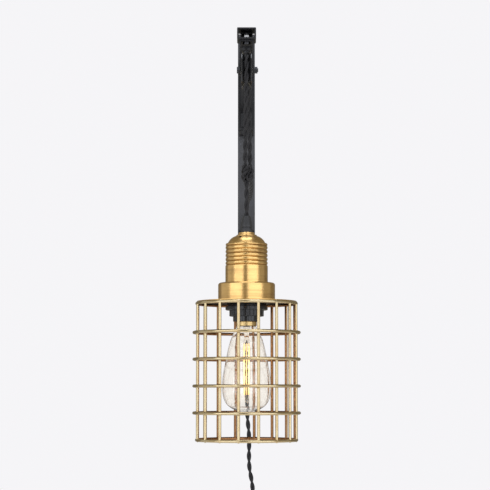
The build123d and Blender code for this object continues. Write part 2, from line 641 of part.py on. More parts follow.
shell_line += Polyline(inner_top, (THREAD_BORE_R, DOME_UNDER_Z), (THREAD_BORE_R, DOME_TOP_Z))
socket_shell = turned(shell_line)

GRUB_R = 2.3
GRUB_KEY_R = 1.2
GRUB_SUNK = 1.3
GRUB_TURN = radians(-25)
GRUB_LEAN = radians(42)
GRUB_SPOT = (18.2, -173.9)


def grub_point(along):
    """A point on the set screw's axis, which stands square to the dome."""
    r = GRUB_SPOT[0] + along * sin(GRUB_LEAN)
    return (r * sin(GRUB_TURN), LAMP_Y - r * cos(GRUB_TURN), GRUB_SPOT[1] + along * cos(GRUB_LEAN))


socket_shell -= rod(grub_point(-6), grub_point(4), GRUB_R)
save("socket_shell", socket_shell)
grub = rod(grub_point(-5.2), grub_point(-GRUB_SUNK), GRUB_R)
save("dome_set_screw", grub - rod(grub_point(-GRUB_SUNK - 1.6), grub_point(1), GRUB_KEY_R))

CUP_HOLE_R = 21.0
CUP_CORNER = 2.8
cup_line = Line((CUP_HOLE_R, CUP_TOP_Z), (CUP_R - CUP_CORNER, CUP_TOP_Z))
corner_mid = CUP_CORNER * (1 - cos(pi / 4))
cup_line += ThreePointArc(
    (CUP_R - CUP_CORNER, CUP_TOP_Z),
    (CUP_R - corner_mid, CUP_TOP_Z - corner_mid),
    (CUP_R, CUP_TOP_Z - CUP_CORNER),
)
cup_line += Polyline(
    (CUP_R, CUP_TOP_Z - CUP_CORNER),
    (CUP_R, CUP_LOW_Z),
    (CUP_R - SHEET, CUP_LOW_Z),
    (CUP_R - SHEET, CUP_TOP_Z - SHEET),
    (CUP_HOLE_R, CUP_TOP_Z - SHEET),
    (CUP_HOLE_R, CUP_TOP_Z),
)
save("cage_cup", turned(cup_line))

# ---------------------------------------------------------------- lampholder
NIPPLE_Z = (-193.0, -159.4)
NIPPLE_BORE_R = 3.7
nipple = upright(0, LAMP_Y, *NIPPLE_Z, NIPPLE_R)
nipple -= upright(0, LAMP_Y, NIPPLE_Z[0] - 1, NIPPLE_Z[1] + 1, NIPPLE_BORE_R)
save("threaded_nipple", nipple)
save("nipple_nut", hexagon(15.0, DOME_UNDER_Z - 3.0, DOME_UNDER_Z, THREAD_BORE_R, (0, LAMP_Y)))

CAP_JOIN_Z = -212.0
holder_cap = turned_points(
    [
        (THREAD_BORE_R, -186.0),
        (13.0, -186.0),
        (19.5, -192.0),
        (19.5, CAP_JOIN_Z),
        (17.0, CAP_JOIN_Z),
        (17.0, -194.0),
        (11.0, -190.0),
        (THREAD_BORE_R, -190.0),
    ]
)
save("lampholder_cap", holder_cap)

HOLDER_R = 19.5
HOLDER_BORE_R = 14.3
RIM_HOLDER_R = 17.6
SHADE_LOW_Z = -276.6
HOLDER_LOW_Z = -283.5
PLATE_TOP_Z = CUP_LOW_Z
PLATE_THICK = 1.5
holder = turned_points(
    [
        (HOLDER_BORE_R, CAP_JOIN_Z),
        (HOLDER_R, CAP_JOIN_Z),
        (HOLDER_R, -227.5),
        (23.5, -229.5),
        (23.5, CUP_TOP_Z),
        (HOLDER_R + 0.6, CUP_TOP_Z),
        (HOLDER_R + 0.6, SHADE_LOW_Z + 0.6),
        (RIM_HOLDER_R, SHADE_LOW_Z),
        (RIM_HOLDER_R, HOLDER_LOW_Z + 0.6),
        (RIM_HOLDER_R - 0.6, HOLDER_LOW_Z),
        (HOLDER_BORE_R, HOLDER_LOW_Z),
    ]
)
save("lampholder_body", holder)

SHADE_FLANGE_R = 27.5
SHADE_GRIP_R = 22.4
SHADE_BORE_R = HOLDER_R + 0.65
shade_top = PLATE_TOP_Z - PLATE_THICK
shade_ring = turned_points(
    [
        (SHADE_BORE_R, shade_top),
        (25.5, shade_top),
        (25.5, -263.4),
        (SHADE_FLANGE_R, -264.0),
        (SHADE_FLANGE_R, -267.8),
        (SHADE_FLANGE_R - 0.8, -268.6),
        (SHADE_GRIP_R, -268.6),
        (SHADE_GRIP_R, SHADE_LOW_Z + 0.6),
        (SHADE_GRIP_R - 0.6, SHADE_LOW_Z),
        (SHADE_BORE_R, SHADE_LOW_Z),
    ]
)
GRIP_FLUTES = 28
FLUTE_R = 1.3
FLUTE_CIRCLE_R = SHADE_GRIP_R + 0.5
FLUTE_TOP_Z = -268.6
for k in range(GRIP_FLUTES):
    turn = 2 * pi * k / GRIP_FLUTES
    x = FLUTE_CIRCLE_R * cos(turn)
    y = LAMP_Y + FLUTE_CIRCLE_R * sin(turn)
    shade_ring -= upright(x, y, SHADE_LOW_Z - 1, FLUTE_TOP_Z, FLUTE_R)
save("shade_ring", shade_ring)

BLOCK_Z = (-251.0, -240.0)
contact_block = upright(0, LAMP_Y, *BLOCK_Z, HOLDER_BORE_R - 0.1)
TERMINAL_X = 6.0
LEAD_R = 1.3
for s in (-1, 1):
    contact_block -= upright(s * TERMINAL_X, LAMP_Y, BLOCK_Z[1] - 5, BLOCK_Z[1] + 1, 1.5)
save("contact_block", contact_block)
terminals = []
for s in (-1, 1):
    screw = upright(s * TERMINAL_X, LAMP_Y, BLOCK_Z[1] - 5, BLOCK_Z[1], 1.5)
    screw += upright(s * TERMINAL_X, LAMP_Y, BLOCK_Z[1], BLOCK_Z[1] + 2.2, 3.2)
    slot_x = (s * TERMINAL_X - 4, s * TERMINAL_X + 4)
    screw -= block(slot_x, (LAMP_Y - 0.4, LAMP_Y + 0.4), (BLOCK_Z[1] + 1.2, BLOCK_Z[1] + 3))
    terminals.append(screw)
save("terminal_screws", *terminals)
LEAD_X = 1.8
terminal_top = BLOCK_Z[1] + 2.2
leads = []
for s in (-1, 1):
    lead_points = [
        Vector(s * LEAD_X, LAMP_Y, -160.5),
        Vector(s * LEAD_X, LAMP_Y, -205.0),
        Vector(s * TERMINAL_X, LAMP_Y, -217.0),
        Vector(s * TERMINAL_X, LAMP_Y, terminal_top),
    ]
    lead_path = FilletPolyline(*lead_points, radius=8.0)
    lead_start = Plane(origin=lead_path @ 0, z_dir=lead_path % 0)
    leads.append(sweep(lead_start * Circle(LEAD_R), path=lead_path))
save("inner_leads", *leads)

LINER_R = 13.9
LINER_WALL = 0.4
LINER_LOW_Z = -281.0
liner = upright(0, LAMP_Y, LINER_LOW_Z, BLOCK_Z[0], LINER_R)
liner -= upright(0, LAMP_Y, LINER_LOW_Z - 1, BLOCK_Z[0] + 1, LINER_R - LINER_WALL)
save("screw_shell_liner", liner)
CONTACT_LOW_Z = -255.4
contact = block((-3, 3), (LAMP_Y - 2.5, LAMP_Y + 2.5), (BLOCK_Z[0] - 1.0, BLOCK_Z[0]))
contact += block((2, 3), (LAMP_Y - 2.5, LAMP_Y + 2.5), (CONTACT_LOW_Z, BLOCK_Z[0]))
contact += block((-3.5, 3), (LAMP_Y - 2.5, LAMP_Y + 2.5), (CONTACT_LOW_Z, CONTACT_LOW_Z + 0.8))
save("centre_contact", contact)

# ---------------------------------------------------------------- cage
plate = upright(0, LAMP_Y, PLATE_TOP_Z - PLATE_THICK, PLATE_TOP_Z, BAR_CIRCLE_R)
plate -= upright(0, LAMP_Y, PLATE_TOP_Z - 3, PLATE_TOP_Z + 1, HOLDER_R + 0.8)
save("cage_top_plate", plate)


def wire_ring(z, radius):
    return Pos(0, LAMP_Y, z) * Torus(radius, WIRE_R)


save("cage_top_ring", wire_ring(CAGE_TOP_Z, BAR_CIRCLE_R))
save("cage_bottom_ring", wire_ring(CAGE_LOW_Z, BAR_CIRCLE_R))
save("cage_rings", *[wire_ring(CAGE_LOW_Z + (k + 1) * RING_PITCH, RING_CIRCLE_R) for k in range(RINGS)])
bars = []
for k in range(BARS):
    turn = radians(BAR_TURN + 360 / BARS * k)
    x = BAR_CIRCLE_R * sin(turn)
    y = LAMP_Y - BAR_CIRCLE_R * cos(turn)
    bars.append(upright(x, y, CAGE_LOW_Z + 1.2, CAGE_TOP_Z - 1.2, WIRE_R - 0.05))
save("cage_bars", *bars)

# ---------------------------------------------------------------- bulb
CAP_WALL = 0.5
THREADS = 6
cap_line = Polyline((6.0, CAP_TOP_Z), (10.4, CAP_TOP_Z), (12.2, CAP_TOP_Z - 2.0))
thread_top = CAP_TOP_Z - 2.0
thread_pitch = 3.2
for k in range(THREADS):
    top = thread_top - k * thread_pitch
    cap_line += ThreePointArc((12.2, top), (CAP_R, top - thread_pitch / 2), (12.2, top - thread_pitch))
thread_low = thread_top - THREADS * thread_pitch
cap_line += Polyline(
    (12.2, thread_low),
    (CAP_R, thread_low - 0.8),
    (CAP_R, CAP_LOW_Z),
    (CAP_R - CAP_WALL, CAP_LOW_Z),
    (CAP_R - CAP_WALL, thread_low - 1.4),
    (12.2 - CAP_WALL, thread_low - 0.6),
    (12.2 - CAP_WALL, CAP_TOP_Z - 2.4),
    (10.2, CAP_TOP_Z - CAP_WALL),
    (6.0, CAP_TOP_Z - CAP_WALL),
    (6.0, CAP_TOP_Z),
)
save("bulb_cap", turned(cap_line))
CONTACT_Z = -258.0
insulator = [
    (0, CAP_TOP_Z - 2.0),
    (5.9, CAP_TOP_Z - 2.0),
    (5.9, CAP_TOP_Z),
    (9.0, CAP_TOP_Z),
    (5.4, CONTACT_Z),
    (0, CONTACT_Z),
]
save("bulb_insulator", turned_points(insulator))
save("bulb_contact", turned_points([(0, CONTACT_Z), (4.4, CONTACT_Z), (3.6, -256.8), (0, -256.4)]))

NECK_R = 11.4
NECK_TOP_Z = -278.0
TIP_ZONE_Z = -395.0
GLASS = [
    (13.0, -290.6),
    (16.0, -296.0),
    (20.8, -307.4),
    (26.4, -330.7),
    (30.0, -349.0),
    (BULB_R, -366.0),
    (30.3, -381.0),
    (24.0, -392.2),
    (13.0, -398.7),
    (0, BULB_TIP_Z),
]


def glass_face(inset):
    """The bulb's half outline, moved in by the glass's thickness: up near the tip, sideways above it."""
    points = []
    for r, z in GLASS:
        if z < TIP_ZONE_Z:
            points.append((max(r - inset / 2, 0), z + inset))
        else:
            points.append((r - inset, z))
    neck = NECK_R - inset
    line = Polyline((0, NECK_TOP_Z), (neck, NECK_TOP_Z), (neck, CAP_LOW_Z), points[0])
    line += Spline(*points, tangents=[(0.75, -1), (-1, 0)])
    line += Line(points[-1], (0, NECK_TOP_Z))
    return make_face(Plane.XZ * line)


glass = revolve(glass_face(0), Axis.Z) - revolve(glass_face(GLASS_WALL), Axis.Z)
neck_hole = upright(0, 0, NECK_TOP_Z - 2, NECK_TOP_Z + 2, NECK_R - GLASS_WALL)
save("bulb_glass", Pos(0, LAMP_Y, 0) * (glass - neck_hole))

STEM = [
    (0, -279.0),
    (9.0, -279.0),
    (9.0, -281.0),
    (4.2, -290.0),
    (3.2, -302.0),
    (3.0, -309.0),
    (1.7, -312.0),
    (1.7, -322.0),
    (0, -323.0),
]
save("bulb_stem", turned_points(STEM))
HOOK_R = 0.3
FILAMENT_TOP_Z = -312.0
FILAMENT_LOW_Z = -378.0
FILAMENT_R = 0.45
FILAMENT_X = 2.2
supports = []
for s in (-1, 1):
    supports.append(rod((s * 2.4, LAMP_Y, -303.0), (s * 4.0, LAMP_Y, FILAMENT_TOP_Z - 2.0), HOOK_R))
supports.append(rod((4.6, LAMP_Y - 1.0, -320.0), (5.2, LAMP_Y - 1.0, -359.0), HOOK_R))
save("filament_supports", *supports)
strands = []
for s in (-1, 1):
    strand_top = (s * FILAMENT_X, LAMP_Y, FILAMENT_TOP_Z - 12.0)
    strands.append(rod(strand_top, (s * 0.9, LAMP_Y, FILAMENT_LOW_Z), FILAMENT_R))
save("filament", *strands)
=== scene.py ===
from math import acos, cos, hypot, pi, radians, sin

import bmesh
import bpy
import numpy as np
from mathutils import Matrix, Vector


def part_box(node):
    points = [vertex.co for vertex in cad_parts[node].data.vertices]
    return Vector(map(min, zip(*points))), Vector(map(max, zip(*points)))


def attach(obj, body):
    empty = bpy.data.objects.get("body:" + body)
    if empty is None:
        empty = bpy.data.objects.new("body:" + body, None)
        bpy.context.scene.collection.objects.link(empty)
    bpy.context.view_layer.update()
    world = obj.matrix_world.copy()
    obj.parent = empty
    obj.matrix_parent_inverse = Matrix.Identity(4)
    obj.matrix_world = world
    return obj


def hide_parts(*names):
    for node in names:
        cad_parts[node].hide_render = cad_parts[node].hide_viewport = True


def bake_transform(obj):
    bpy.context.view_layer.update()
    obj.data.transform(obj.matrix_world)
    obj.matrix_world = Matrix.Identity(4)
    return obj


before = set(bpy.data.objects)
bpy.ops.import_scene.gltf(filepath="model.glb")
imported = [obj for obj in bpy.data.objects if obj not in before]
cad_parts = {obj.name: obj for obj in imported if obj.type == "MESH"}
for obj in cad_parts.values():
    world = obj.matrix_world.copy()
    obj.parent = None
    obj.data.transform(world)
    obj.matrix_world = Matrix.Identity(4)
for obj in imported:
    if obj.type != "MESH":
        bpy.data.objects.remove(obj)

# Swing arm wall light: a steel arm with a pulley, and a caged brass lamp that hangs on its twisted cord.
# Metres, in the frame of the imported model: the wall is the plane Y = 0, the light stands out along -Y.

bl_info = {
    "name": "Swing Arm Wall Light",
    "version": (1, 0, 0),
    "blender": (4, 5, 0),
    "location": "3D View > Sidebar > Wall Light",
    "description": "Cords, cage joints, filament and finishes for a swing arm wall light",
    "category": "Object",
}

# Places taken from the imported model
CAGE_LOW, CAGE_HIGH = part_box("cage_bottom_ring")
LAMP_Y = (CAGE_LOW.y + CAGE_HIGH.y) / 2
HINGE_Y = sum(corner.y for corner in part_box("hinge_pin")) / 2
GRIP_TOP_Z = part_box("cord_grip")[1].z
KNOT_LOW_Z, KNOT_TOP_Z = (corner.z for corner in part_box("cord_knot"))
WHEEL_LOW, WHEEL_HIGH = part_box("pulley_wheel")
AXLE_Z = (WHEEL_LOW.z + WHEEL_HIGH.z) / 2
CORD_ON_WHEEL_R = 0.0211

# Stage: the camera stands this far in front of the lamp, and each softbox has a name, a place, a width and
# height, and its brightness over that of the front ones
CAMERA_AWAY = 2.04
CAMERA_X = -0.00207
CAMERA_Z = -0.372
CAMERA_TILT = radians(90 + 5.28)
SENSOR = 36.0
SOFTBOX_AIM = (0, LAMP_Y, -0.25)
SOFTBOX_TINT = (0.95, 1.0, 1.10)
SOFTBOXES = (
    ("left_softbox", (-1.34, -1.66, 0.0), (1.95, 1.9), 1.0),
    ("right_softbox", (1.12, -1.85, 0.0), (2.30, 1.9), 1.0),
    ("left_side_panel", (-2.10, -0.10, 0.0), (2.45, 1.9), 0.24),
    ("right_side_panel", (2.10, -0.30, 0.0), (1.85, 1.9), 0.12),
    ("top_softbox", (0, -0.45, 1.9), (1.4, 1.4), 1.9),
)
ROOM_LIGHT = (0.24, 0.22, 0.17, 1.0)
FLOOR_R = 2.6
FLOOR_Z = -1.45
FLOOR_THICK = 0.01
FLOOR_GREYS = ((0.80, 0.80, 0.81, 1.0), (0.84, 0.84, 0.85, 1.0))

# Cage: the bars' turns in degrees, the joints' depth inside the hoops, and the beads of braze
WIRE_R = 0.002
HOOPS = 4
BARS = 16
FIRST_BAR = -9.1
JOINT_INSET = 0.0041
BEAD_LENGTH = 0.0027
BEAD_DEPTH = 0.0019
BEAD_HEIGHT = 0.0027
BEAD_COLUMNS = 8
BEAD_ROWS = 5
BEAD_TIP = 0.35

# Bulb: the filament's hooks and wires, and a lead wire's points as (out, forwards, height)
TOP_HOOKS_R = 0.0038
LOW_HOOKS_R = 0.0032
TOP_HOOKS_RISE = 0.012
LOW_STAR_DROP = 0.001
FILAMENT_R = 0.00038
FILAMENT_COIL_R = 0.00016
FILAMENT_COIL_TURN = 180
FILAMENT_STEPS = 120
HOOK_R = 0.00017
ROD_R = 0.0006
ROD_PAST_HOOKS = 0.004
LEAD_R = 0.00022
LEAD_STEP = 0.002
LEAD = ((0.0022, 0.0, -0.300), (0.0052, -0.001, -0.318), (0.0050, -0.001, -0.359), (0.0022, 0.0, -0.379))


class CordSettings(bpy.types.PropertyGroup):
    diameter: bpy.props.FloatProperty(
        name="Diameter",
        description="Across both twisted strands",
        default=0.0064,
        unit="LENGTH",
    )
    lay: bpy.props.FloatProperty(
        name="Lay",
        description="Length of one full twist of the two strands",
        default=0.030,
        unit="LENGTH",
    )
    cloth: bpy.props.FloatVectorProperty(
        name="Cloth",
        description="Colour of the cloth cover",
        default=(0.0095, 0.0088, 0.0098),
        subtype="COLOR",
    )


class MetalSettings(bpy.types.PropertyGroup):
    brass: bpy.props.FloatVectorProperty(
        name="Brass",
        description="Brushed antique brass",
        default=(0.79, 0.505, 0.185),
        subtype="COLOR",
    )
    # This colour is real tarnish, and also painted shade in the sleeve's thread valleys, under the cage's top
    # plate and on the cage wires' inward side.
    tarnish_and_shade: bpy.props.FloatVectorProperty(
        name="Tarnish",
        description="Brass where it has darkened",
        default=(0.30, 0.17, 0.06),
        subtype="COLOR",
    )
    rail: bpy.props.FloatVectorProperty(
        name="Rail",
        description="Satin powder coat of the wall rail",
        default=(0.035, 0.035, 0.039),
        subtype="COLOR",
    )
    # The arm's colour is set darker than the rail's as painted shade; both stand for one black powder coat.
    arm: bpy.props.FloatVectorProperty(
        name="Arm",
        description="Satin powder coat of the arm",
        default=(0.0095, 0.0095, 0.0110),
        subtype="COLOR",
    )


class BulbSettings(bpy.types.PropertyGroup):
    glow: bpy.props.FloatVectorProperty(
        name="Glow",
        description="Colour of the lit filament",
        default=(1.0, 0.70, 0.27),
        subtype="COLOR",
    )
    strength: bpy.props.FloatProperty(
        name="Strength",
        description="Brightness of the lit filament",
        default=2.2,
    )
    legs: bpy.props.IntProperty(
        name="Legs",
        description="Upright lengths of filament wire",
        default=8,
    )


class StageSettings(bpy.types.PropertyGroup):
    lens: bpy.props.FloatProperty(
        name="Lens",
        description="Focal length in millimetres",
        default=115.35,
    )
    backdrop: bpy.props.FloatVectorProperty(
        name="Backdrop",
        description="Pale studio backdrop",
        default=(0.918, 0.912, 0.932),
        subtype="COLOR",
    )
    softbox: bpy.props.FloatProperty(
        name="Softbox",
        description="Brightness of the front softboxes",
        default=1.75,
    )


# ---------------------------------------------------------------- shader helpers
class Wire:
    """A node socket that takes part in arithmetic: each operator adds one Math node."""

    def __init__(self, nodes, socket):
        self.nodes = nodes
        self.socket = socket

    def math(self, operation, *others):
        values = dict(enumerate((self, *others)))
        return self.nodes.node("ShaderNodeMath", {"operation": operation}, values)

    def __add__(self, other):
        return self.math("ADD", other)

    __radd__ = __add__

    def __mul__(self, other):
        return self.math("MULTIPLY", other)

    __rmul__ = __mul__

    def __sub__(self, other):
        return self.math("SUBTRACT", other)

    def __rsub__(self, other):
        return self.nodes.node("ShaderNodeMath", {"operation": "SUBTRACT"}, {0: other, 1: self})

    def __pow__(self, other):
        return self.math("POWER", other)


class Nodes:
    """A node tree, and the one method that adds to it."""

    def __init__(self, owner):
        owner.use_nodes = True
        self.tree = owner.node_tree
        self.tree.nodes.clear()

    def node(self, kind, settings=None, values=None, output=0):
        """Adds a node, sets it up, then fills its sockets with values or links, and gives back one output."""
        node = self.tree.nodes.new(kind)
        for name, value in (settings or {}).items():
            setattr(node, name, value)
        for name, value in (values or {}).items():
            if isinstance(value, Wire):
                self.tree.links.new(value.socket, node.inputs[name])
            else:
                node.inputs[name].default_value = value
        return Wire(self, node.outputs[output]) if len(node.outputs) else node


class Finish(Nodes):
    """A material, with the patterns that its finishes are made of."""

    def __init__(self, name):
        self.material = bpy.data.materials.new(name)
        super().__init__(self.material)

    def shader(self, values, metal=0.0):
        """The Principled shader and the material's output."""
        surface = self.node("ShaderNodeBsdfPrincipled", None, {"Metallic": metal, **values})
        self.node("ShaderNodeOutputMaterial", None, {"Surface": surface})
        return self.material

    def place(self, centre=(0, 0, 0)):
        """Object coordinates measured from a centre."""
        own = self.node("ShaderNodeTexCoord", output="Object")
        return self.node("ShaderNodeVectorMath", {"operation": "SUBTRACT"}, {0: own, 1: centre})

    def split(self, vector):
        """A vector's three numbers."""
        node = self.node("ShaderNodeSeparateXYZ", None, {0: vector}).socket.node
        return [Wire(self, socket) for socket in node.outputs]

    def noise(self, vector, scale, detail=3.0, roughness=0.55):
        """Noise from 0 to 1, with scale as its lumps in a metre."""
        settings = {"noise_dimensions": "3D"}
        values = {"Vector": vector, "Scale": scale, "Detail": detail, "Roughness": roughness}
        return self.node("ShaderNodeTexNoise", settings, values)

    def step(self, value, low, high, out_low=0.0, out_high=1.0):
        """A smooth change from out_low to out_high as value goes from low to high."""
        values = {"Value": value, "From Min": low, "From Max": high, "To Min": out_low, "To Max": out_high}
        return self.node("ShaderNodeMapRange", {"interpolation_type": "SMOOTHSTEP"}, values)

    def blend(self, factor, first, second):
        """A colour between two, by a factor."""
        values = {"Factor": factor, 6: first, 7: second}
        return self.node("ShaderNodeMix", {"data_type": "RGBA"}, values, output=2)

    def bump(self, height, distance, strength):
        """A normal that follows a height, where 1 stands for the distance in metres."""
        values = {"Height": height, "Distance": distance, "Strength": strength}
        return self.node("ShaderNodeBump", None, values)

    def about(self, pattern, middle, spread):
        """A pattern from 0 to 1 turned into numbers spread about a middle one."""
        return pattern * spread + (middle - spread / 2)


def solid(colour):
    """A colour property as four numbers."""
    return (*colour, 1.0)


def scaled(colour, shares, plus=0.0):
    """A colour times a share, or times one share for each channel, plus a little."""
    return solid(np.minimum(np.multiply(colour, shares) + plus, 1.0))


def dress(material, *nodes):
    """Gives CAD nodes their finish."""
    for name in nodes:
        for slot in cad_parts[name].material_slots:
            slot.material = material


# ---------------------------------------------------------------- finishes
def powder_coat(name, colour, roughness, shine=0.5):
    """Satin powder coat: a fine orange-peel skin, faint cloudiness and a few paler rubbed specks."""
    f = Finish(name)
    place = f.place()
    cloud = f.noise(place, scale=18.0, detail=2.0)
    peel = f.noise(place, scale=900.0, detail=2.0)
    speck = f.step(f.noise(place, scale=420.0, detail=1.0), 0.66, 0.76)
    body = f.blend(f.step(cloud, 0.3, 0.7, 0.0, 0.35), solid(colour), scaled(colour, 1.9, 0.01))
    worn = f.blend(speck * 0.4, body, scaled(colour, 2.6, 0.02))
    values = {"Base Color": worn, "Roughness": f.about(cloud, roughness, 0.12)}
    values["Normal"] = f.bump(peel, distance=0.0002, strength=0.5)
    values["Specular IOR Level"] = shine
    return f.shader(values)


# The sleeve's rolled threads get painted shade from the crest's radius in to the valley's. At their lower and
# upper ends the painted shade fades in from the first height to the second
THREAD_CREST_R = 0.02665
THREAD_VALLEY_R = 0.0262
THREADS_BELOW = (-0.2115, -0.2095)
THREADS_ABOVE = (-0.1830, -0.1842)


def turned_brass(name, metals):
    """Antique brass, brushed round the lathe axis. The brush lines follow height less radius, which rises
    steadily along a turned outline, so they run round the piece on its sides and on its dome alike."""
    f = Finish(name)
    place = f.place((0, LAMP_Y, 0))
    x, y, z = f.split(place)
    radius = (x * x + y * y) ** 0.5
    profile = z - radius

    def brush(round_scale, along_scale, detail, roughness):
        """Noise drawn out into lines: few lumps round the piece and many along its outline."""
        values = {0: x * round_scale, 1: y * round_scale, 2: profile * along_scale}
        return f.noise(f.node("ShaderNodeCombineXYZ", None, values), 1.0, detail, roughness)

    fine_line = brush(9.0, 900.0, 3.0, 0.7)
    broad_line = brush(14.0, 260.0, 2.0, 0.6)
    patina = f.noise(place, scale=32.0, detail=4.0, roughness=0.6)
    # Painted shade darkens the thread valleys; it is added to the random patina and brush-line tarnish.
    valley_shade = f.step(radius, THREAD_CREST_R, THREAD_VALLEY_R)
    valley_shade = valley_shade * f.step(z, *THREADS_BELOW) * f.step(z, *THREADS_ABOVE)
    dark_share = f.step(patina, 0.42, 0.78, 0.0, 0.34) + f.step(broad_line, 0.45, 0.75, 0.0, 0.30) + valley_shade * 0.55
    colour = f.blend(dark_share, solid(metals.brass), solid(metals.tarnish_and_shade))
    rough = broad_line * 0.16 + fine_line * 0.10 + 0.17
    height = fine_line * 0.6 + broad_line * 0.4
    values = {"Base Color": colour, "Roughness": rough, "Anisotropic": 0.65, "Anisotropic Rotation": 0.25}
    values["Coat Weight"] = 0.3
    values["Coat Roughness"] = 0.35
    values["Normal"] = f.bump(height, distance=0.00012, strength=0.6)
    return f.shader(values, metal=1.0)


def plate_brass(name, metals):
    """The cage's top plate: patchy brass above, with painted shade making its underside dark; it is also
    duller below.
    """
    f = Finish(name)
    place = f.place((0, LAMP_Y, 0))
    low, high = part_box("cage_top_plate")
    _, _, z = f.split(place)
    # Painted shade: the underside blends to a near-black colour.
    below = f.step(z, low.z * 0.3 + high.z * 0.7, low.z * 0.9 + high.z * 0.1)
    patch = f.noise(place, scale=40.0, detail=4.0, roughness=0.6)
    top = f.blend(f.step(patch, 0.35, 0.7, 0.1, 0.6), solid(metals.brass), solid(metals.tarnish_and_shade))
    values = {"Base Color": f.blend(below, top, scaled(metals.tarnish_and_shade, 0.12))}
    values["Roughness"] = patch * 0.2 + below * 0.25 + 0.25
    values["Normal"] = f.bump(patch, distance=0.0003, strength=0.3)
    return f.shader(values, metal=1.0)


def wire_brass(name, metals):
    """Drawn brass wire, aged by dipping: soft tarnished patches and faint drawing marks. The side of the
    wire that faces the cage's axis, where its normal points inwards, gets painted shade, dark and reddish."""
    f = Finish(name)
    place = f.place((0, LAMP_Y, 0))
    patch = f.noise(place, scale=46.0, detail=4.0, roughness=0.6)
    marks = f.noise(place, scale=700.0, detail=2.0)
    x, y, _ = f.split(place)
    level = f.node("ShaderNodeCombineXYZ", None, {0: x, 1: y})
    out = f.node("ShaderNodeVectorMath", {"operation": "NORMALIZE"}, {0: level})
    normal = f.node("ShaderNodeTexCoord", output="Normal")
    facing = f.node("ShaderNodeVectorMath", {"operation": "DOT_PRODUCT"}, {0: normal, 1: out}, output="Value")
    # Painted shade: faces turned towards the cage's axis blend to a dark reddish colour.
    inside = f.step(facing, 0.05, -0.45)
    dark_share = f.step(patch, 0.40, 0.74, 0.04, 0.46)
    pale = scaled(metals.brass, (0.78, 1.00, 1.65))
    inward_shade = scaled(metals.tarnish_and_shade, (0.80, 0.50, 0.40))
    outer = f.blend(dark_share, pale, solid(np.add(metals.brass, metals.tarnish_and_shade) / 2))
    values = {"Base Color": f.blend(inside * 0.85, outer, inward_shade)}
    values["Roughness"] = patch * 0.16 + marks * 0.06 + 0.08
    values["Normal"] = f.bump(marks, distance=0.0001, strength=0.4)
    return f.shader(values, metal=1.0)


def plain_metal(name, colour, roughness):
    """Plated or machined small metal: tiny tool marks and a little unevenness in its shine."""
    f = Finish(name)
    place = f.place()
    marks = f.noise(place, scale=1300.0, detail=2.0)
    patch = f.noise(place, scale=90.0)
    body = f.blend(f.step(patch, 0.35, 0.7, 0.0, 0.5), solid(colour), scaled(colour, 0.7))
    values = {"Base Color": body, "Roughness": f.about(patch, roughness, 0.16)}
    values["Normal"] = f.bump(marks, distance=0.0001, strength=0.3)
    return f.shader(values, metal=1.0)


def moulded(name, colour, roughness, grain=0.0002):
    """Moulded plastic or rubber: a fine moulded grain, with faint flow marks in its shine."""
    f = Finish(name)
    place = f.place()
    fine = f.noise(place, scale=1100.0, detail=2.0)
    flow = f.noise(place, scale=60.0)
    body = f.blend(f.step(flow, 0.4, 0.75, 0.0, 0.5), solid(colour), scaled(colour, 1.8, 0.004))
    values = {"Base Color": body, "Roughness": f.about(flow, roughness, 0.14)}
    values["Normal"] = f.bump(fine, grain, strength=0.45)
    return f.shader(values)


def braided_cloth(name, cord):
    """Braided cloth over a wire. Two families of yarns cross on the strand's own map, where the first number
    is metres along and the second is turns around: each family is the sine of 2 pi (along / pitch) plus or
    less 2 pi (yarns around)."""
    f = Finish(name)
    mapped = f.node("ShaderNodeUVMap", {"uv_map": "Wrap"})
    along, around, _ = f.split(mapped)
    yarns = 5
    pitch = 0.0042
    climb = along * (2 * pi / pitch)
    turns = around * (2 * pi * yarns)
    right = (climb + turns).math("SINE")
    left = (climb - turns).math("SINE")
    weave = right.math("MAXIMUM", left) * 0.5 + 0.5
    place = f.place()
    fuzz = f.noise(place, scale=2600.0, detail=2.0)
    wear = f.noise(place, scale=70.0)
    shade = weave * 0.30 + f.step(wear, 0.4, 0.7, 0.0, 0.2) + fuzz * 0.1
    colour = f.blend(shade, solid(cord.cloth), scaled(cord.cloth, 2.6, 0.010))
    values = {"Base Color": colour, "Roughness": weave * 0.1 + 0.62}
    values["Normal"] = f.bump(weave * 0.8 + fuzz * 0.2, distance=0.0001, strength=0.6)
    values["Specular IOR Level"] = 0.3
    values["Sheen Weight"] = 0.10
    values["Sheen Roughness"] = 0.45
    return f.shader(values)


def clear_glass(name):
    """Thin clear lamp glass, with the faintest ripple."""
    f = Finish(name)
    ripple = f.noise(f.place(), scale=55.0, detail=2.0)
    values = {"Base Color": (1.0, 0.975, 0.925, 1.0), "Roughness": 0.0, "IOR": 1.45}
    values["Transmission Weight"] = 1.0
    values["Normal"] = f.bump(ripple, distance=0.0002, strength=0.25)
    return f.shader(values)


def glowing_wire(name, bulb):
    """Lit filament: brightest in the middle of its height, a little dimmer at both hooks."""
    f = Finish(name)
    low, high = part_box("filament")
    _, _, z = f.split(f.place((0, LAMP_Y, (low.z + high.z) / 2)))
    half = (high.z - low.z) / 2
    dimmest = 0.45
    level = f.step(z.math("ABSOLUTE"), half * 1.02, half * 0.4, dimmest, 1.0)
    cooler = scaled(bulb.glow, (0.55, 0.40, 0.30))
    colour = f.blend(level, cooler, solid(bulb.glow))
    values = {"Base Color": cooler, "Roughness": 0.6, "Emission Color": colour}
    values["Emission Strength"] = bulb.strength
    return f.shader(values)


# ---------------------------------------------------------------- surfaces
def unit(vectors):
    """Each vector over its own length."""
    return vectors / np.linalg.norm(vectors, axis=-1, keepdims=True)


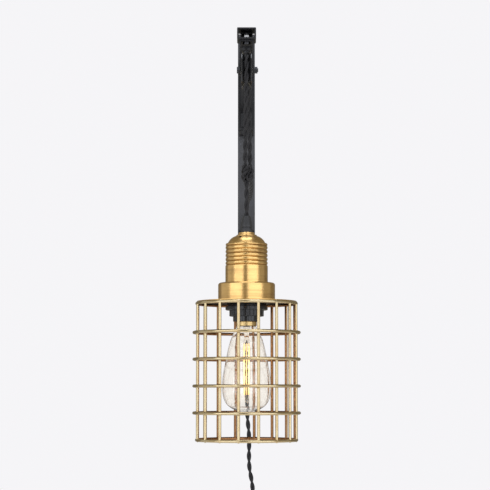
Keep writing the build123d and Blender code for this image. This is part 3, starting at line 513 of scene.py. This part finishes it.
class Surface:
    """Gathers grids of points into one mesh. A grid's rows go along it and its columns go round it."""

    def __init__(self):
        self.points = []
        self.faces = []
        self.maps = []
        self.count = 0

    def grid(self, points, along=None):
        """points is (rows, columns, 3). The last column joins the first, and both ends are closed."""
        rows, columns = points.shape[:2]
        if along is None:
            along = np.arange(rows) / max(rows - 1, 1)
        row, column = np.meshgrid(np.arange(rows - 1), np.arange(columns), indexing="ij")
        after = (column + 1) % columns
        corners = [row * columns + column, row * columns + after]
        corners += [(row + 1) * columns + after, (row + 1) * columns + column]
        quads = np.stack(corners, axis=-1).reshape(-1, 4) + self.count
        u = np.stack([along[row], along[row], along[row + 1], along[row + 1]], axis=-1)
        v = np.stack([column, column + 1, column + 1, column], axis=-1) / columns
        self.faces += quads.tolist()
        self.maps.append(np.stack([u, v], axis=-1).reshape(-1, 2))
        ring = np.arange(columns)
        last = ring + (rows - 1) * columns
        self.faces += [(ring[::-1] + self.count).tolist(), (last + self.count).tolist()]
        self.maps.append(np.zeros((2 * columns, 2)))
        self.points.append(points.reshape(-1, 3))
        self.count += rows * columns

    def piece(self, name, material, smooth=True):
        """The mesh object, faces outwards, in the row frame."""
        mesh = bpy.data.meshes.new(name)
        mesh.from_pydata(np.concatenate(self.points).tolist(), [], self.faces)
        wrap = mesh.uv_layers.new(name="Wrap")
        wrap.data.foreach_set("uv", np.concatenate(self.maps).astype(np.float32).ravel())
        work = bmesh.new()
        work.from_mesh(mesh)
        bmesh.ops.recalc_face_normals(work, faces=work.faces)
        work.to_mesh(mesh)
        work.free()
        mesh.polygons.foreach_set("use_smooth", np.full(len(mesh.polygons), smooth))
        mesh.materials.append(material)
        mesh.validate()
        thing = bpy.data.objects.new(name, mesh)
        bpy.context.scene.collection.objects.link(thing)
        return thing


def frames_along(line, across):
    """Along a line: two directions square to it, the first as near as can be to a given direction. The side
    is across less its share along the line, made one long; the other is the line's way crossed with it."""
    ahead = unit(np.gradient(line, axis=0))
    across = np.broadcast_to(np.asarray(across, float), line.shape)
    side = unit(across - np.sum(across * ahead, axis=1, keepdims=True) * ahead)
    return side, np.cross(ahead, side)


def tube_grid(line, radius, across, sides=12):
    """Rings of a tube: point = line + radius (cos t side + sin t other), t going once round."""
    side, other = frames_along(line, across)
    turn = np.arange(sides) * 2 * pi / sides
    radius = np.broadcast_to(radius, (len(line),))[:, None, None]
    ring = np.cos(turn)[None, :, None] * side[:, None] + np.sin(turn)[None, :, None] * other[:, None]
    return line[:, None] + radius * ring


def turned_grid(outline, steps, centre=(0.0, LAMP_Y)):
    """A turned shape: each (radius, height) of the outline goes once round the upright axis."""
    outline = np.asarray(outline, float)
    turn = np.arange(steps) * 2 * pi / steps
    x = centre[0] + outline[:, :1] * np.cos(turn)
    y = centre[1] + outline[:, :1] * np.sin(turn)
    z = np.broadcast_to(outline[:, 1:], x.shape)
    return np.stack([x, y, z], axis=-1)


def smooth_line(points, fineness=10):
    """The line of a route: a NURBS spline of order 3 that has the route's points as its control points."""
    curve = bpy.data.curves.new("route", "CURVE")
    curve.dimensions = "3D"
    curve.resolution_u = fineness
    spline = curve.splines.new("NURBS")
    spline.points.add(len(points) - 1)
    spline.points.foreach_set("co", np.column_stack([points, np.ones(len(points))]).ravel())
    spline.order_u = 3
    spline.use_endpoint_u = True
    holder = bpy.data.objects.new("route", curve)
    mesh = bpy.data.meshes.new_from_object(holder)
    line = np.empty(len(mesh.vertices) * 3)
    mesh.vertices.foreach_get("co", line)
    bpy.data.objects.remove(holder)
    bpy.data.curves.remove(curve)
    bpy.data.meshes.remove(mesh)
    return line.reshape(-1, 3)


def length_along(line):
    """The length of a line up to each of its points."""
    return np.concatenate([[0], np.cumsum(np.linalg.norm(np.diff(line, axis=0), axis=1))])


STEP_ALONG_CORD = 0.0016
FEWEST_STEPS = 8
STRAND_SHARE = 0.255


def evenly(line, step):
    """The same line with its points a set step apart along it."""
    along = length_along(line)
    places = np.linspace(0, along[-1], max(int(along[-1] / step), FEWEST_STEPS) + 1)
    return np.stack([np.interp(places, along, line[:, k]) for k in range(3)], axis=1)


def twisted_cord(name, line, across, cord, material):
    """Two round strands laid round one line. Each strand's middle is the line plus a quarter of the
    diameter times (cos a side + sin a other), where a is one turn for each lay of length, half a turn apart.
    A strand is a little over half as wide as the cord, so that the two press on each other."""
    line = evenly(line, STEP_ALONG_CORD)
    along = length_along(line)
    side, other = frames_along(line, across)
    strand_r = cord.diameter * STRAND_SHARE
    surface = Surface()
    for half in (0, 1):
        turn = (2 * pi * along / cord.lay + pi * half)[:, None]
        middle = line + cord.diameter / 4 * (np.cos(turn) * side + np.sin(turn) * other)
        surface.grid(tube_grid(middle, strand_r, across), along)
    return surface.piece(name, material), line


# ---------------------------------------------------------------- routes, as the design has them
CLIP_JOIN_Z = -0.145
# From the knot back under the arm, sagging a little, then straight down the hinge's axis into the clip
TAIL = [
    (0.0030, -0.243, -0.086),
    (0.0060, -0.196, -0.0945),
    (0.0062, -0.148, -0.101),
    (0.0040, -0.100, -0.1046),
    (0, -0.058, -0.106),
    (0, -0.037, -0.108),
    (0, HINGE_Y, -0.126),
    (0, HINGE_Y, CLIP_JOIN_Z),
]
# The coil's ring, the way the cord comes into it and leaves it, and the bundle of turns inside it
COIL_R = 0.034
COIL_X = 0.010
COIL_Y = -0.0116
COIL_Z = -0.569
COIL_ENTRY = radians(50)
COIL_LEAVE = radians(-55)
COIL_TURNS = 6 + (COIL_ENTRY - COIL_LEAVE) / (2 * pi)
POINTS_A_TURN = 16
LAYER_R = 0.0072
LAYER_START = radians(13)
LAYER_STEP = radians(52)
ENTRY_RUN = COIL_R * cos(COIL_ENTRY) / sin(COIL_ENTRY)
# Down the wall: out of the clip, back to the wall, behind the lamp and into the coil
WALL_CORD = [
    (0, HINGE_Y, CLIP_JOIN_Z),
    (0, HINGE_Y, -0.172),
    (0.0003, -0.013, -0.212),
    (0.0004, -0.0066, -0.262),
    (0.0002, -0.0043, -0.318),
    (0.0008, -0.0040, -0.368),
    (0.0009, -0.0040, -0.409),
    (0.0042, -0.0040, -0.438),
    (0.0036, -0.0044, -0.462),
    (0.0039, -0.0042, -0.484),
    (0.0080, -0.0054, -0.503),
    (COIL_X, COIL_Y + 0.0014, COIL_Z + COIL_R * sin(COIL_ENTRY) + ENTRY_RUN * cos(COIL_ENTRY)),
]
RELIEF_LOW, RELIEF_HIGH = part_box("plug_strain_relief")
PLUG_X = (RELIEF_LOW.x + RELIEF_HIGH.x) / 2
PLUG_Y = (RELIEF_LOW.y + RELIEF_HIGH.y) / 2
PLUG_CORD = [
    (PLUG_X, PLUG_Y, RELIEF_HIGH.z + 0.0235),
    (PLUG_X, PLUG_Y, RELIEF_HIGH.z - 0.004),
]
# The loop's two feet in the knot, and the shape of its sides
FOOT_APART = 0.0030
FOOT_DEPTH = 0.005
FRONT_FOOT_X = -0.0020
REAR_FOOT_X = 0.0046
LOOP_CORNERS = 5
BESIDE_WHEEL = 0.038
LOW_SHARE = 0.55
REAR_BOW = 0.0016


def coil_points():
    """The turns of the coil. Going round, the ring angle falls by a full turn while the place in the bundle
    moves on by one step, so that the turns lie side by side and never cross. The spline runs inside its
    control points by the spread, so they stand that much further out."""
    count = int(COIL_TURNS * POINTS_A_TURN)
    turns = np.arange(count + 1) / POINTS_A_TURN
    ring = COIL_ENTRY - 2 * pi * turns
    layer = LAYER_START + LAYER_STEP * turns
    spread = 0.75 + 0.25 * cos(2 * pi / POINTS_A_TURN)
    radius = (COIL_R + LAYER_R * np.cos(layer)) / spread
    x = COIL_X + radius * np.cos(ring)
    z = COIL_Z + radius * np.sin(ring)
    return np.stack([x, COIL_Y + LAYER_R * np.sin(layer), z], axis=1)


def loop_points():
    """The loop over the pulley. Both strands rise from the knot, one in front of the wheel and one behind;
    round the wheel the points are the corners of a polygon whose sides touch the cord's own circle."""
    front_foot = np.array([FRONT_FOOT_X, LAMP_Y - FOOT_APART, KNOT_TOP_Z - FOOT_DEPTH])
    rear_foot = np.array([REAR_FOOT_X, LAMP_Y + FOOT_APART, KNOT_TOP_Z - FOOT_DEPTH])
    reach = hypot(FOOT_APART, AXLE_Z - front_foot[2])
    lean = abs(acos(CORD_ON_WHEEL_R / reach) - acos(FOOT_APART / reach))
    step = (pi + 2 * lean) / LOOP_CORNERS
    radius = CORD_ON_WHEEL_R / cos(step / 2)
    angles = -lean + step * (np.arange(LOOP_CORNERS) + 0.5)
    y = LAMP_Y - radius * np.cos(angles)
    z = AXLE_Z + radius * np.sin(angles)
    over = np.stack([np.zeros(LOOP_CORNERS), y, z], axis=1)
    front = over[0] + unit(front_foot - over[0]) * BESIDE_WHEEL
    rear = over[-1] + unit(rear_foot - over[-1]) * BESIDE_WHEEL
    front_low = over[0] + (front_foot - over[0]) * LOW_SHARE
    rear_low = over[-1] + (rear_foot - over[-1]) * LOW_SHARE + np.array([REAR_BOW, 0, 0])
    return [front_foot, front_low, front, *over, rear, rear_low, rear_foot]


# ---------------------------------------------------------------- operators
class WALLLIGHT_OT_stage(bpy.types.Operator):
    """Camera, softboxes, pale floor and backdrop"""

    bl_idname = "walllight.stage"
    bl_label = "Stage"

    def execute(self, context):
        scene = context.scene
        stage = scene.wall_light_stage
        scene.view_settings.view_transform = "Standard"
        self.camera(scene, stage)
        self.world(scene, stage)
        for name, place, size, share in SOFTBOXES:
            self.softbox(name, place, size, stage.softbox * share)
        self.floor()
        return {"FINISHED"}

    def camera(self, scene, stage):
        """A long lens 2 m in front of the lamp, a little below it and looking slightly up."""
        data = bpy.data.cameras.new("camera")
        data.sensor_width = SENSOR
        data.lens = stage.lens
        camera = bpy.data.objects.new("camera", data)
        camera.location = (CAMERA_X, LAMP_Y - CAMERA_AWAY, CAMERA_Z)
        camera.rotation_euler = (CAMERA_TILT, 0, 0)
        scene.collection.objects.link(camera)
        scene.camera = camera

    def world(self, scene, stage):
        """Pale where it is seen, dimmer as a light, so that metal keeps its dark reflections."""
        world = bpy.data.worlds.new("studio")
        nodes = Nodes(world)
        lighting = nodes.node("ShaderNodeBackground", None, {"Color": ROOM_LIGHT})
        seen = nodes.node("ShaderNodeBackground", None, {"Color": solid(stage.backdrop)})
        straight = nodes.node("ShaderNodeLightPath", output="Is Camera Ray")
        through_glass = nodes.node("ShaderNodeLightPath", output="Is Transmission Ray")
        either = straight.math("MAXIMUM", through_glass)
        mix = nodes.node("ShaderNodeMixShader", None, {0: either, 1: lighting, 2: seen})
        nodes.node("ShaderNodeOutputWorld", None, {"Surface": mix})
        scene.world = world

    def softbox(self, name, place, size, brightness):
        """An area light of an even brightness: its power is brightness times area times pi."""
        data = bpy.data.lights.new(name, "AREA")
        data.shape = "RECTANGLE"
        data.size, data.size_y = size
        data.energy = brightness * size[0] * size[1] * pi
        data.color = SOFTBOX_TINT
        box = bpy.data.objects.new(name, data)
        box.location = place
        way = np.subtract(place, SOFTBOX_AIM)
        climb = np.arcsin(way[2] / np.linalg.norm(way))
        box.rotation_euler = (pi / 2 - climb, 0, np.arctan2(way[0], -way[1]))
        box.visible_camera = False
        bpy.context.scene.collection.objects.link(box)

    def floor(self):
        """A round pale floor, well below the plug."""
        f = Finish("floor")
        cloud = f.noise(f.place(), scale=2.0, detail=2.0)
        colour = f.blend(f.step(cloud, 0.3, 0.7), *FLOOR_GREYS)
        values = {"Base Color": colour, "Roughness": 0.6, "Emission Color": colour}
        values["Emission Strength"] = 0.42
        f.shader(values)
        surface = Surface()
        surface.grid(turned_grid([(FLOOR_R, FLOOR_Z - FLOOR_THICK), (FLOOR_R, FLOOR_Z)], 96))
        surface.piece("floor", f.material, smooth=False)


class WALLLIGHT_OT_cords(bpy.types.Operator):
    """All the twisted cloth cord, from the lamp to the plug"""

    bl_idname = "walllight.cords"
    bl_label = "Cords"

    def execute(self, context):
        cord = context.scene.wall_light_cord
        cloth = braided_cloth("cloth_cord", cord)
        self.supply(cord, cloth)
        self.tail(cord, cloth)
        knot = self.knot(cord, cloth)
        self.loop(cord, cloth, knot)
        self.lamp(cord, cloth)
        return {"FINISHED"}

    def supply(self, cord, cloth):
        """Down the wall behind the lamp, round the coil, and straight down into the plug."""
        line = smooth_line(np.array([*WALL_CORD, *coil_points().tolist(), *PLUG_CORD]))
        piece, line = twisted_cord("supply_cord", line, (0, 1, 0), cord, cloth)
        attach(piece, "wall")
        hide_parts("wall_cord", "cord_coil", "end_cord")
        plug = [bpy.data.objects[name] for name in ("plug_sleeve", "plug_shell")]
        plug += [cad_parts[name] for name in ("plug_blades", "coil_tie")]

    def tail(self, cord, cloth):
        """From the knot back under the arm to the clip. Its last drop is on the hinge's axis, so the arm's
        swing only twists that drop."""
        piece, line = twisted_cord("tail_cord_strands", smooth_line(np.array(TAIL)), (1, 0, 0), cord, cloth)
        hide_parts("tail_cord")
        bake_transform(piece)

    def knot(self, cord, cloth):
        """The knot under the pulley: the cord's line is a trefoil, (ring + swell cos 3t) out at a turn of 2t,
        with a height of b sin 3t, drawn tight so that its passes press on each other."""
        steps = 180
        ring = 0.0040
        swell = 0.0026
        aside = 0.0006
        turn = np.linspace(0, 2 * pi, steps + 1)[:-1]
        out = ring + swell * np.cos(3 * turn)
        x = out * np.cos(2 * turn) + aside
        y = LAMP_Y + out * np.sin(2 * turn)
        high = (KNOT_TOP_Z - KNOT_LOW_Z) / 2
        z = (KNOT_TOP_Z + KNOT_LOW_Z) / 2 + (high - cord.diameter / 2) * np.sin(3 * turn)
        line = np.stack([x, y, z], axis=1)
        line = np.concatenate([line, line[:1]])
        piece, _ = twisted_cord("knot_strands", line, (0, 0, 1), cord, cloth)
        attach(piece, "arm")
        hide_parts("cord_knot")
        return piece

    def loop(self, cord, cloth, knot):
        """Up from the knot, over the wheel and back down to the knot, pulled tight by the lamp's weight."""
        line = smooth_line(np.array(loop_points()), 16)
        piece, line = twisted_cord("pulley_loop_strands", line, (1, 0, 0), cord, cloth)
        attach(piece, "arm")
        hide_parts("pulley_cord_loop")

    def lamp(self, cord, cloth):
        """The short length that carries the lamp, straight from the grip up into the knot."""
        into_grip = 0.0006
        into_knot = 0.0030
        low = GRIP_TOP_Z - into_grip
        high = KNOT_LOW_Z + into_knot
        line = np.array([(0, LAMP_Y, low), (0, LAMP_Y, (low + high) / 2), (0, LAMP_Y, high)])
        piece, line = twisted_cord("lamp_cord_strands", line, (1, 0, 0), cord, cloth)
        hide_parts("lamp_cord")
        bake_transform(piece)


class WALLLIGHT_OT_steel(bpy.types.Operator):
    """Rail, hinge, arm, yoke and their fasteners"""

    bl_idname = "walllight.steel"
    bl_label = "Steelwork"

    def execute(self, context):
        metals = context.scene.wall_light_metals
        dress(powder_coat("rail_coat", metals.rail, 0.42), "wall_rail")
        # The arm's darker colour in arm_coat_with_painted_shade is painted shade on the hinge, arm, brace and
        # yoke pieces.
        coat = powder_coat("arm_coat_with_painted_shade", metals.arm, 0.40, 0.32)
        dress(coat, "hinge_bracket_lower", "hinge_bracket_upper", "rail_cord_clip", "hinge_barrel")
        dress(coat, "post_plate", "arm_tube", "arm_end_box", "arm_brace", "pulley_yoke")
        black = plain_metal("blacked_screws", (0.055, 0.055, 0.058), 0.36)
        dress(black, "rail_screws", "brace_bolts", "yoke_bolt", "pulley_axle_bolt", "axle_nut", "axle_washer")
        dress(plain_metal("bright_nut", (0.60, 0.60, 0.62), 0.30), "yoke_nut", "hinge_pin")
        dress(plain_metal("bronze_bush", (0.46, 0.27, 0.11), 0.42), "hinge_bushes", "pulley_bush")
        dress(moulded("wheel_black", (0.014, 0.014, 0.015), 0.16), "pulley_wheel")
        dress(moulded("spacer_nylon", (0.62, 0.61, 0.57), 0.5), "axle_spacers")
        return {"FINISHED"}


class WALLLIGHT_OT_brass(bpy.types.Operator):
    """Brass collar, socket shell, cup and lampholder pieces"""

    bl_idname = "walllight.brass"
    bl_label = "Lamp body"

    def execute(self, context):
        metals = context.scene.wall_light_metals
        dress(turned_brass("brushed_brass", metals), "brass_collar", "socket_shell", "cage_cup")
        dress(moulded("grip_black", (0.020, 0.020, 0.022), 0.5), "cord_grip")
        dress(plain_metal("set_screw_steel", (0.05, 0.05, 0.055), 0.4), "dome_set_screw")
        dress(plain_metal("nipple_steel", (0.42, 0.41, 0.39), 0.4), "threaded_nipple", "nipple_nut")
        phenolic = moulded("gloss_phenolic", (0.010, 0.010, 0.011), 0.20, 0.00006)
        dress(phenolic, "lampholder_cap", "lampholder_body", "shade_ring", "contact_block")
        contacts = plain_metal("contact_brass", (0.66, 0.46, 0.19), 0.34)
        dress(contacts, "terminal_screws", "centre_contact", "screw_shell_liner", "plug_blades")
        dress(moulded("lead_cover", (0.03, 0.03, 0.03), 0.5), "inner_leads")
        return {"FINISHED"}


class WALLLIGHT_OT_cage(bpy.types.Operator):
    """Cage wires, their top plate and the brazed joints"""

    bl_idname = "walllight.cage"
    bl_label = "Cage"

    def execute(self, context):
        metals = context.scene.wall_light_metals
        wire = wire_brass("cage_wire", metals)
        dress(wire, "cage_bars", "cage_rings", "cage_top_ring", "cage_bottom_ring")
        dress(plate_brass("plate_brass", metals), "cage_top_plate")
        joints = self.joints(wire)
        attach(joints, "lamp")
        return {"FINISHED"}

    def joints(self, wire):
        """A bead of braze where each bar meets a ring: an egg shape, shallowest outwards. Each point is the
        joint plus (length cos a sin b) round the cage, (depth sin a sin b) outwards and (height cos b) up."""
        hoop_low, hoop_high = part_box("cage_rings")
        joint_r = (hoop_high.x - hoop_low.x) / 2 - JOINT_INSET
        end_r = (CAGE_HIGH.x - CAGE_LOW.x) / 2 - WIRE_R
        low_z = (CAGE_LOW.z + CAGE_HIGH.z) / 2
        top_z = sum(corner.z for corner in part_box("cage_top_ring")) / 2
        rows = np.linspace(hoop_low.z + WIRE_R, hoop_high.z - WIRE_R, HOOPS)
        bars = np.radians(FIRST_BAR + 360 / BARS * np.arange(BARS))
        spots = [(turn, joint_r, z) for z in rows for turn in bars]
        spots += [(turn, end_r, z) for z in (low_z, top_z) for turn in bars]
        a = np.arange(BEAD_COLUMNS) * 2 * pi / BEAD_COLUMNS
        b = np.linspace(BEAD_TIP, pi - BEAD_TIP, BEAD_ROWS)[:, None]
        surface = Surface()
        for turn, radius, z in spots:
            round_cage = np.array([cos(turn), sin(turn), 0])
            outwards = np.array([sin(turn), -cos(turn), 0])
            middle = np.array([0, LAMP_Y, z]) + radius * outwards
            shape = (BEAD_LENGTH * np.cos(a) * np.sin(b))[..., None] * round_cage
            shape = shape + (BEAD_DEPTH * np.sin(a) * np.sin(b))[..., None] * outwards
            shape = shape + (BEAD_HEIGHT * np.cos(b) * np.ones(BEAD_COLUMNS))[..., None] * np.array([0, 0, 1])
            surface.grid(middle + shape)
        return surface.piece("cage_joints", wire)


class WALLLIGHT_OT_bulb(bpy.types.Operator):
    """Glass, cap, stem, filament and its supports"""

    bl_idname = "walllight.bulb"
    bl_label = "Bulb"

    def execute(self, context):
        bulb = context.scene.wall_light_bulb
        glass = clear_glass("bulb_glass")
        dress(glass, "bulb_glass", "bulb_stem")
        dress(plain_metal("cap_brass", (0.70, 0.50, 0.22), 0.30), "bulb_cap", "bulb_contact")
        dress(moulded("cap_black_glass", (0.008, 0.008, 0.009), 0.12, 0.00004), "bulb_insulator")
        self.filament(bulb)
        self.supports(bulb)
        return {"FINISHED"}

    def ring(self, bulb, radius, z):
        """A spot for each leg of the filament, evenly round the bulb's axis."""
        turn = np.arange(bulb.legs) * 2 * pi / bulb.legs
        x = radius * np.cos(turn)
        y = LAMP_Y + radius * np.sin(turn)
        return np.stack([x, y, np.full(bulb.legs, z)], axis=1)

    def hooks(self, bulb):
        """Where the filament turns round its hooks, at the top and the bottom of a narrow cage."""
        low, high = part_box("filament")
        return self.ring(bulb, TOP_HOOKS_R, high.z + TOP_HOOKS_RISE), self.ring(bulb, LOW_HOOKS_R, low.z)

    def filament(self, bulb):
        """Fine coiled wire, strung up and down between the hooks: each leg is a helix of small radius."""
        top, bottom = self.hooks(bulb)
        surface = Surface()
        share = np.linspace(0, 1, FILAMENT_STEPS + 1)
        turn = share * FILAMENT_COIL_TURN
        coil = FILAMENT_COIL_R * np.stack([np.cos(turn), np.sin(turn), 0 * turn], axis=1)
        for first, second in zip(top, bottom):
            line = first + (second - first) * share[:, None] + coil
            surface.grid(tube_grid(line, FILAMENT_R, (1, 0, 0), 6))
        piece = surface.piece("filament_legs", glowing_wire("lit_filament", bulb))
        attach(piece, "bulb")
        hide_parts("filament")

    def supports(self, bulb):
        """A glass rod's two stars of hook wires, and the two lead wires that bow out beside the rod."""
        top, bottom = self.hooks(bulb)
        surface = Surface()
        for ring, drop in ((top, 0.0), (bottom, -LOW_STAR_DROP)):
            for spot in ring:
                centre = np.array([0, LAMP_Y, spot[2] + drop])
                line = centre + (spot - centre) * np.linspace(0.1, 1.15, 6)[:, None]
                surface.grid(tube_grid(line, HOOK_R, (0, 0, 1), 6))
        heights = np.linspace(top[0, 2] + ROD_PAST_HOOKS, bottom[0, 2] - ROD_PAST_HOOKS, 9)
        rod = np.array([(0, LAMP_Y, z) for z in heights])
        surface.grid(tube_grid(rod, ROD_R, (1, 0, 0), 8))
        for side in (-1, 1):
            lead = np.array([(side * out, LAMP_Y + forwards, z) for out, forwards, z in LEAD])
            surface.grid(tube_grid(evenly(smooth_line(lead), LEAD_STEP), LEAD_R, (0, 1, 0), 8))
        wire = plain_metal("support_wire", (0.42, 0.38, 0.32), 0.35)
        piece = surface.piece("filament_hooks", wire)
        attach(piece, "bulb")
        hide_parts("filament_supports")


class WALLLIGHT_OT_plug(bpy.types.Operator):
    """Plug, its ribbed sleeve and the coil's tie"""

    bl_idname = "walllight.plug"
    bl_label = "Plug and tie"

    def execute(self, context):
        rubber = moulded("plug_rubber", (0.016, 0.016, 0.017), 0.48)
        self.sleeve(rubber)
        self.shell(rubber)
        dress(moulded("tie_rubber", (0.022, 0.022, 0.024), 0.6), "coil_tie")
        return {"FINISHED"}

    def sleeve(self, rubber):
        """The strain relief: its radius goes evenly from the cord's to the plug's, and dips in at the slots
        between its ribs, where radius = taper less a depth wherever sin (2 pi ribs h) is high."""
        ribs = 6
        first_slot = 0.9
        edges, width = 4, 1.4
        slots_start, slots_end = 0.10, 0.94
        slot_depth = 0.0009
        lip = 0.0004
        half = (RELIEF_HIGH.x - RELIEF_LOW.x) / 2
        top = half * 0.61
        h = np.linspace(0, 1, 145)
        slot = np.clip(np.sin(2 * pi * ribs * h - first_slot) * edges - width, 0, 1)
        slot = slot * (h > slots_start) * (h < slots_end)
        radius = top + (half - top) * h - slot * slot_depth
        radius[0] -= lip
        outline = np.column_stack([radius, RELIEF_HIGH.z + (RELIEF_LOW.z - RELIEF_HIGH.z) * h])
        surface = Surface()
        surface.grid(turned_grid(outline, 40, (PLUG_X, PLUG_Y)))
        self.finish(surface.piece("plug_sleeve", rubber), "plug_strain_relief")

    def shell(self, rubber):
        """The plug: sections |x / a| ^ 4 + |y / b| ^ 4 = 1 up its height h. They round off towards the top
        and the bottom, and draw in at a waist with finger ridges: a = edge - waist (sin pi w) ^ 2 + ridges,
        where w goes from 0 to 1 up the waist, and b has a shallower waist and ridges half as deep."""
        foot, foot_round = 0.04, 0.10
        shoulder, shoulder_round = 0.80, 0.42
        waist_start, waist_height = 0.12, 0.66
        waist_x, waist_y = 0.13, 0.10
        ridges, ridge_depth = 9, 0.035
        low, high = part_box("plug_body")
        h = np.linspace(0, 1, 161)
        edge = 1 - foot_round * np.clip((foot - h) / foot, 0, 1) ** 2
        edge = edge - shoulder_round * np.clip((h - shoulder) / (1 - shoulder), 0, 1) ** 2.6
        waist = np.sin(pi * np.clip((h - waist_start) / waist_height, 0, 1)) ** 2
        ridge = ridge_depth * waist * np.cos(2 * pi * ridges * h)
        a = (high.x - low.x) / 2 * (edge - waist_x * waist + ridge)
        b = (high.y - low.y) / 2 * (edge - waist_y * waist + ridge * 0.5)
        turn = np.arange(64) * 2 * pi / 64
        squared = [np.sign(wave) * np.abs(wave) ** 0.5 for wave in (np.cos(turn), np.sin(turn))]
        x = PLUG_X + a[:, None] * squared[0]
        y = PLUG_Y + b[:, None] * squared[1]
        z = np.broadcast_to((low.z + (high.z - low.z) * h)[:, None], x.shape)
        surface = Surface()
        surface.grid(np.stack([x, y, z], axis=-1))
        self.finish(surface.piece("plug_shell", rubber), "plug_body")

    def finish(self, piece, node):
        """Fixed to the wall, in place of its plain node."""
        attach(piece, "wall")
        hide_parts(node)


class WALLLIGHT_PT_sidebar(bpy.types.Panel):
    """The light's settings and the steps that make it"""

    bl_idname = "WALLLIGHT_PT_sidebar"
    bl_label = "Swing Arm Wall Light"
    bl_space_type = "VIEW_3D"
    bl_region_type = "UI"
    bl_category = "Wall Light"

    def draw(self, context):
        scene = context.scene
        for group in SETTINGS:
            box = self.layout.box()
            for name in SETTINGS[group].__annotations__:
                box.prop(getattr(scene, group), name)
        for step in STEPS:
            self.layout.operator(step.bl_idname)


SETTINGS = {
    "wall_light_stage": StageSettings,
    "wall_light_cord": CordSettings,
    "wall_light_metals": MetalSettings,
    "wall_light_bulb": BulbSettings,
}
STEPS = (
    WALLLIGHT_OT_stage,
    WALLLIGHT_OT_plug,
    WALLLIGHT_OT_cords,
    WALLLIGHT_OT_steel,
    WALLLIGHT_OT_brass,
    WALLLIGHT_OT_cage,
    WALLLIGHT_OT_bulb,
)


def register():
    for name, group in SETTINGS.items():
        bpy.utils.register_class(group)
        setattr(bpy.types.Scene, name, bpy.props.PointerProperty(type=group))
    for step in (*STEPS, WALLLIGHT_PT_sidebar):
        bpy.utils.register_class(step)


def unregister():
    for step in (WALLLIGHT_PT_sidebar, *reversed(STEPS)):
        bpy.utils.unregister_class(step)
    for name, group in SETTINGS.items():
        delattr(bpy.types.Scene, name)
        bpy.utils.unregister_class(group)


def main():
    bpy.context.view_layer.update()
    register()
    for step in STEPS:
        family, name = step.bl_idname.split(".")
        getattr(getattr(bpy.ops, family), name)()


if __name__ == "__main__":
    main()
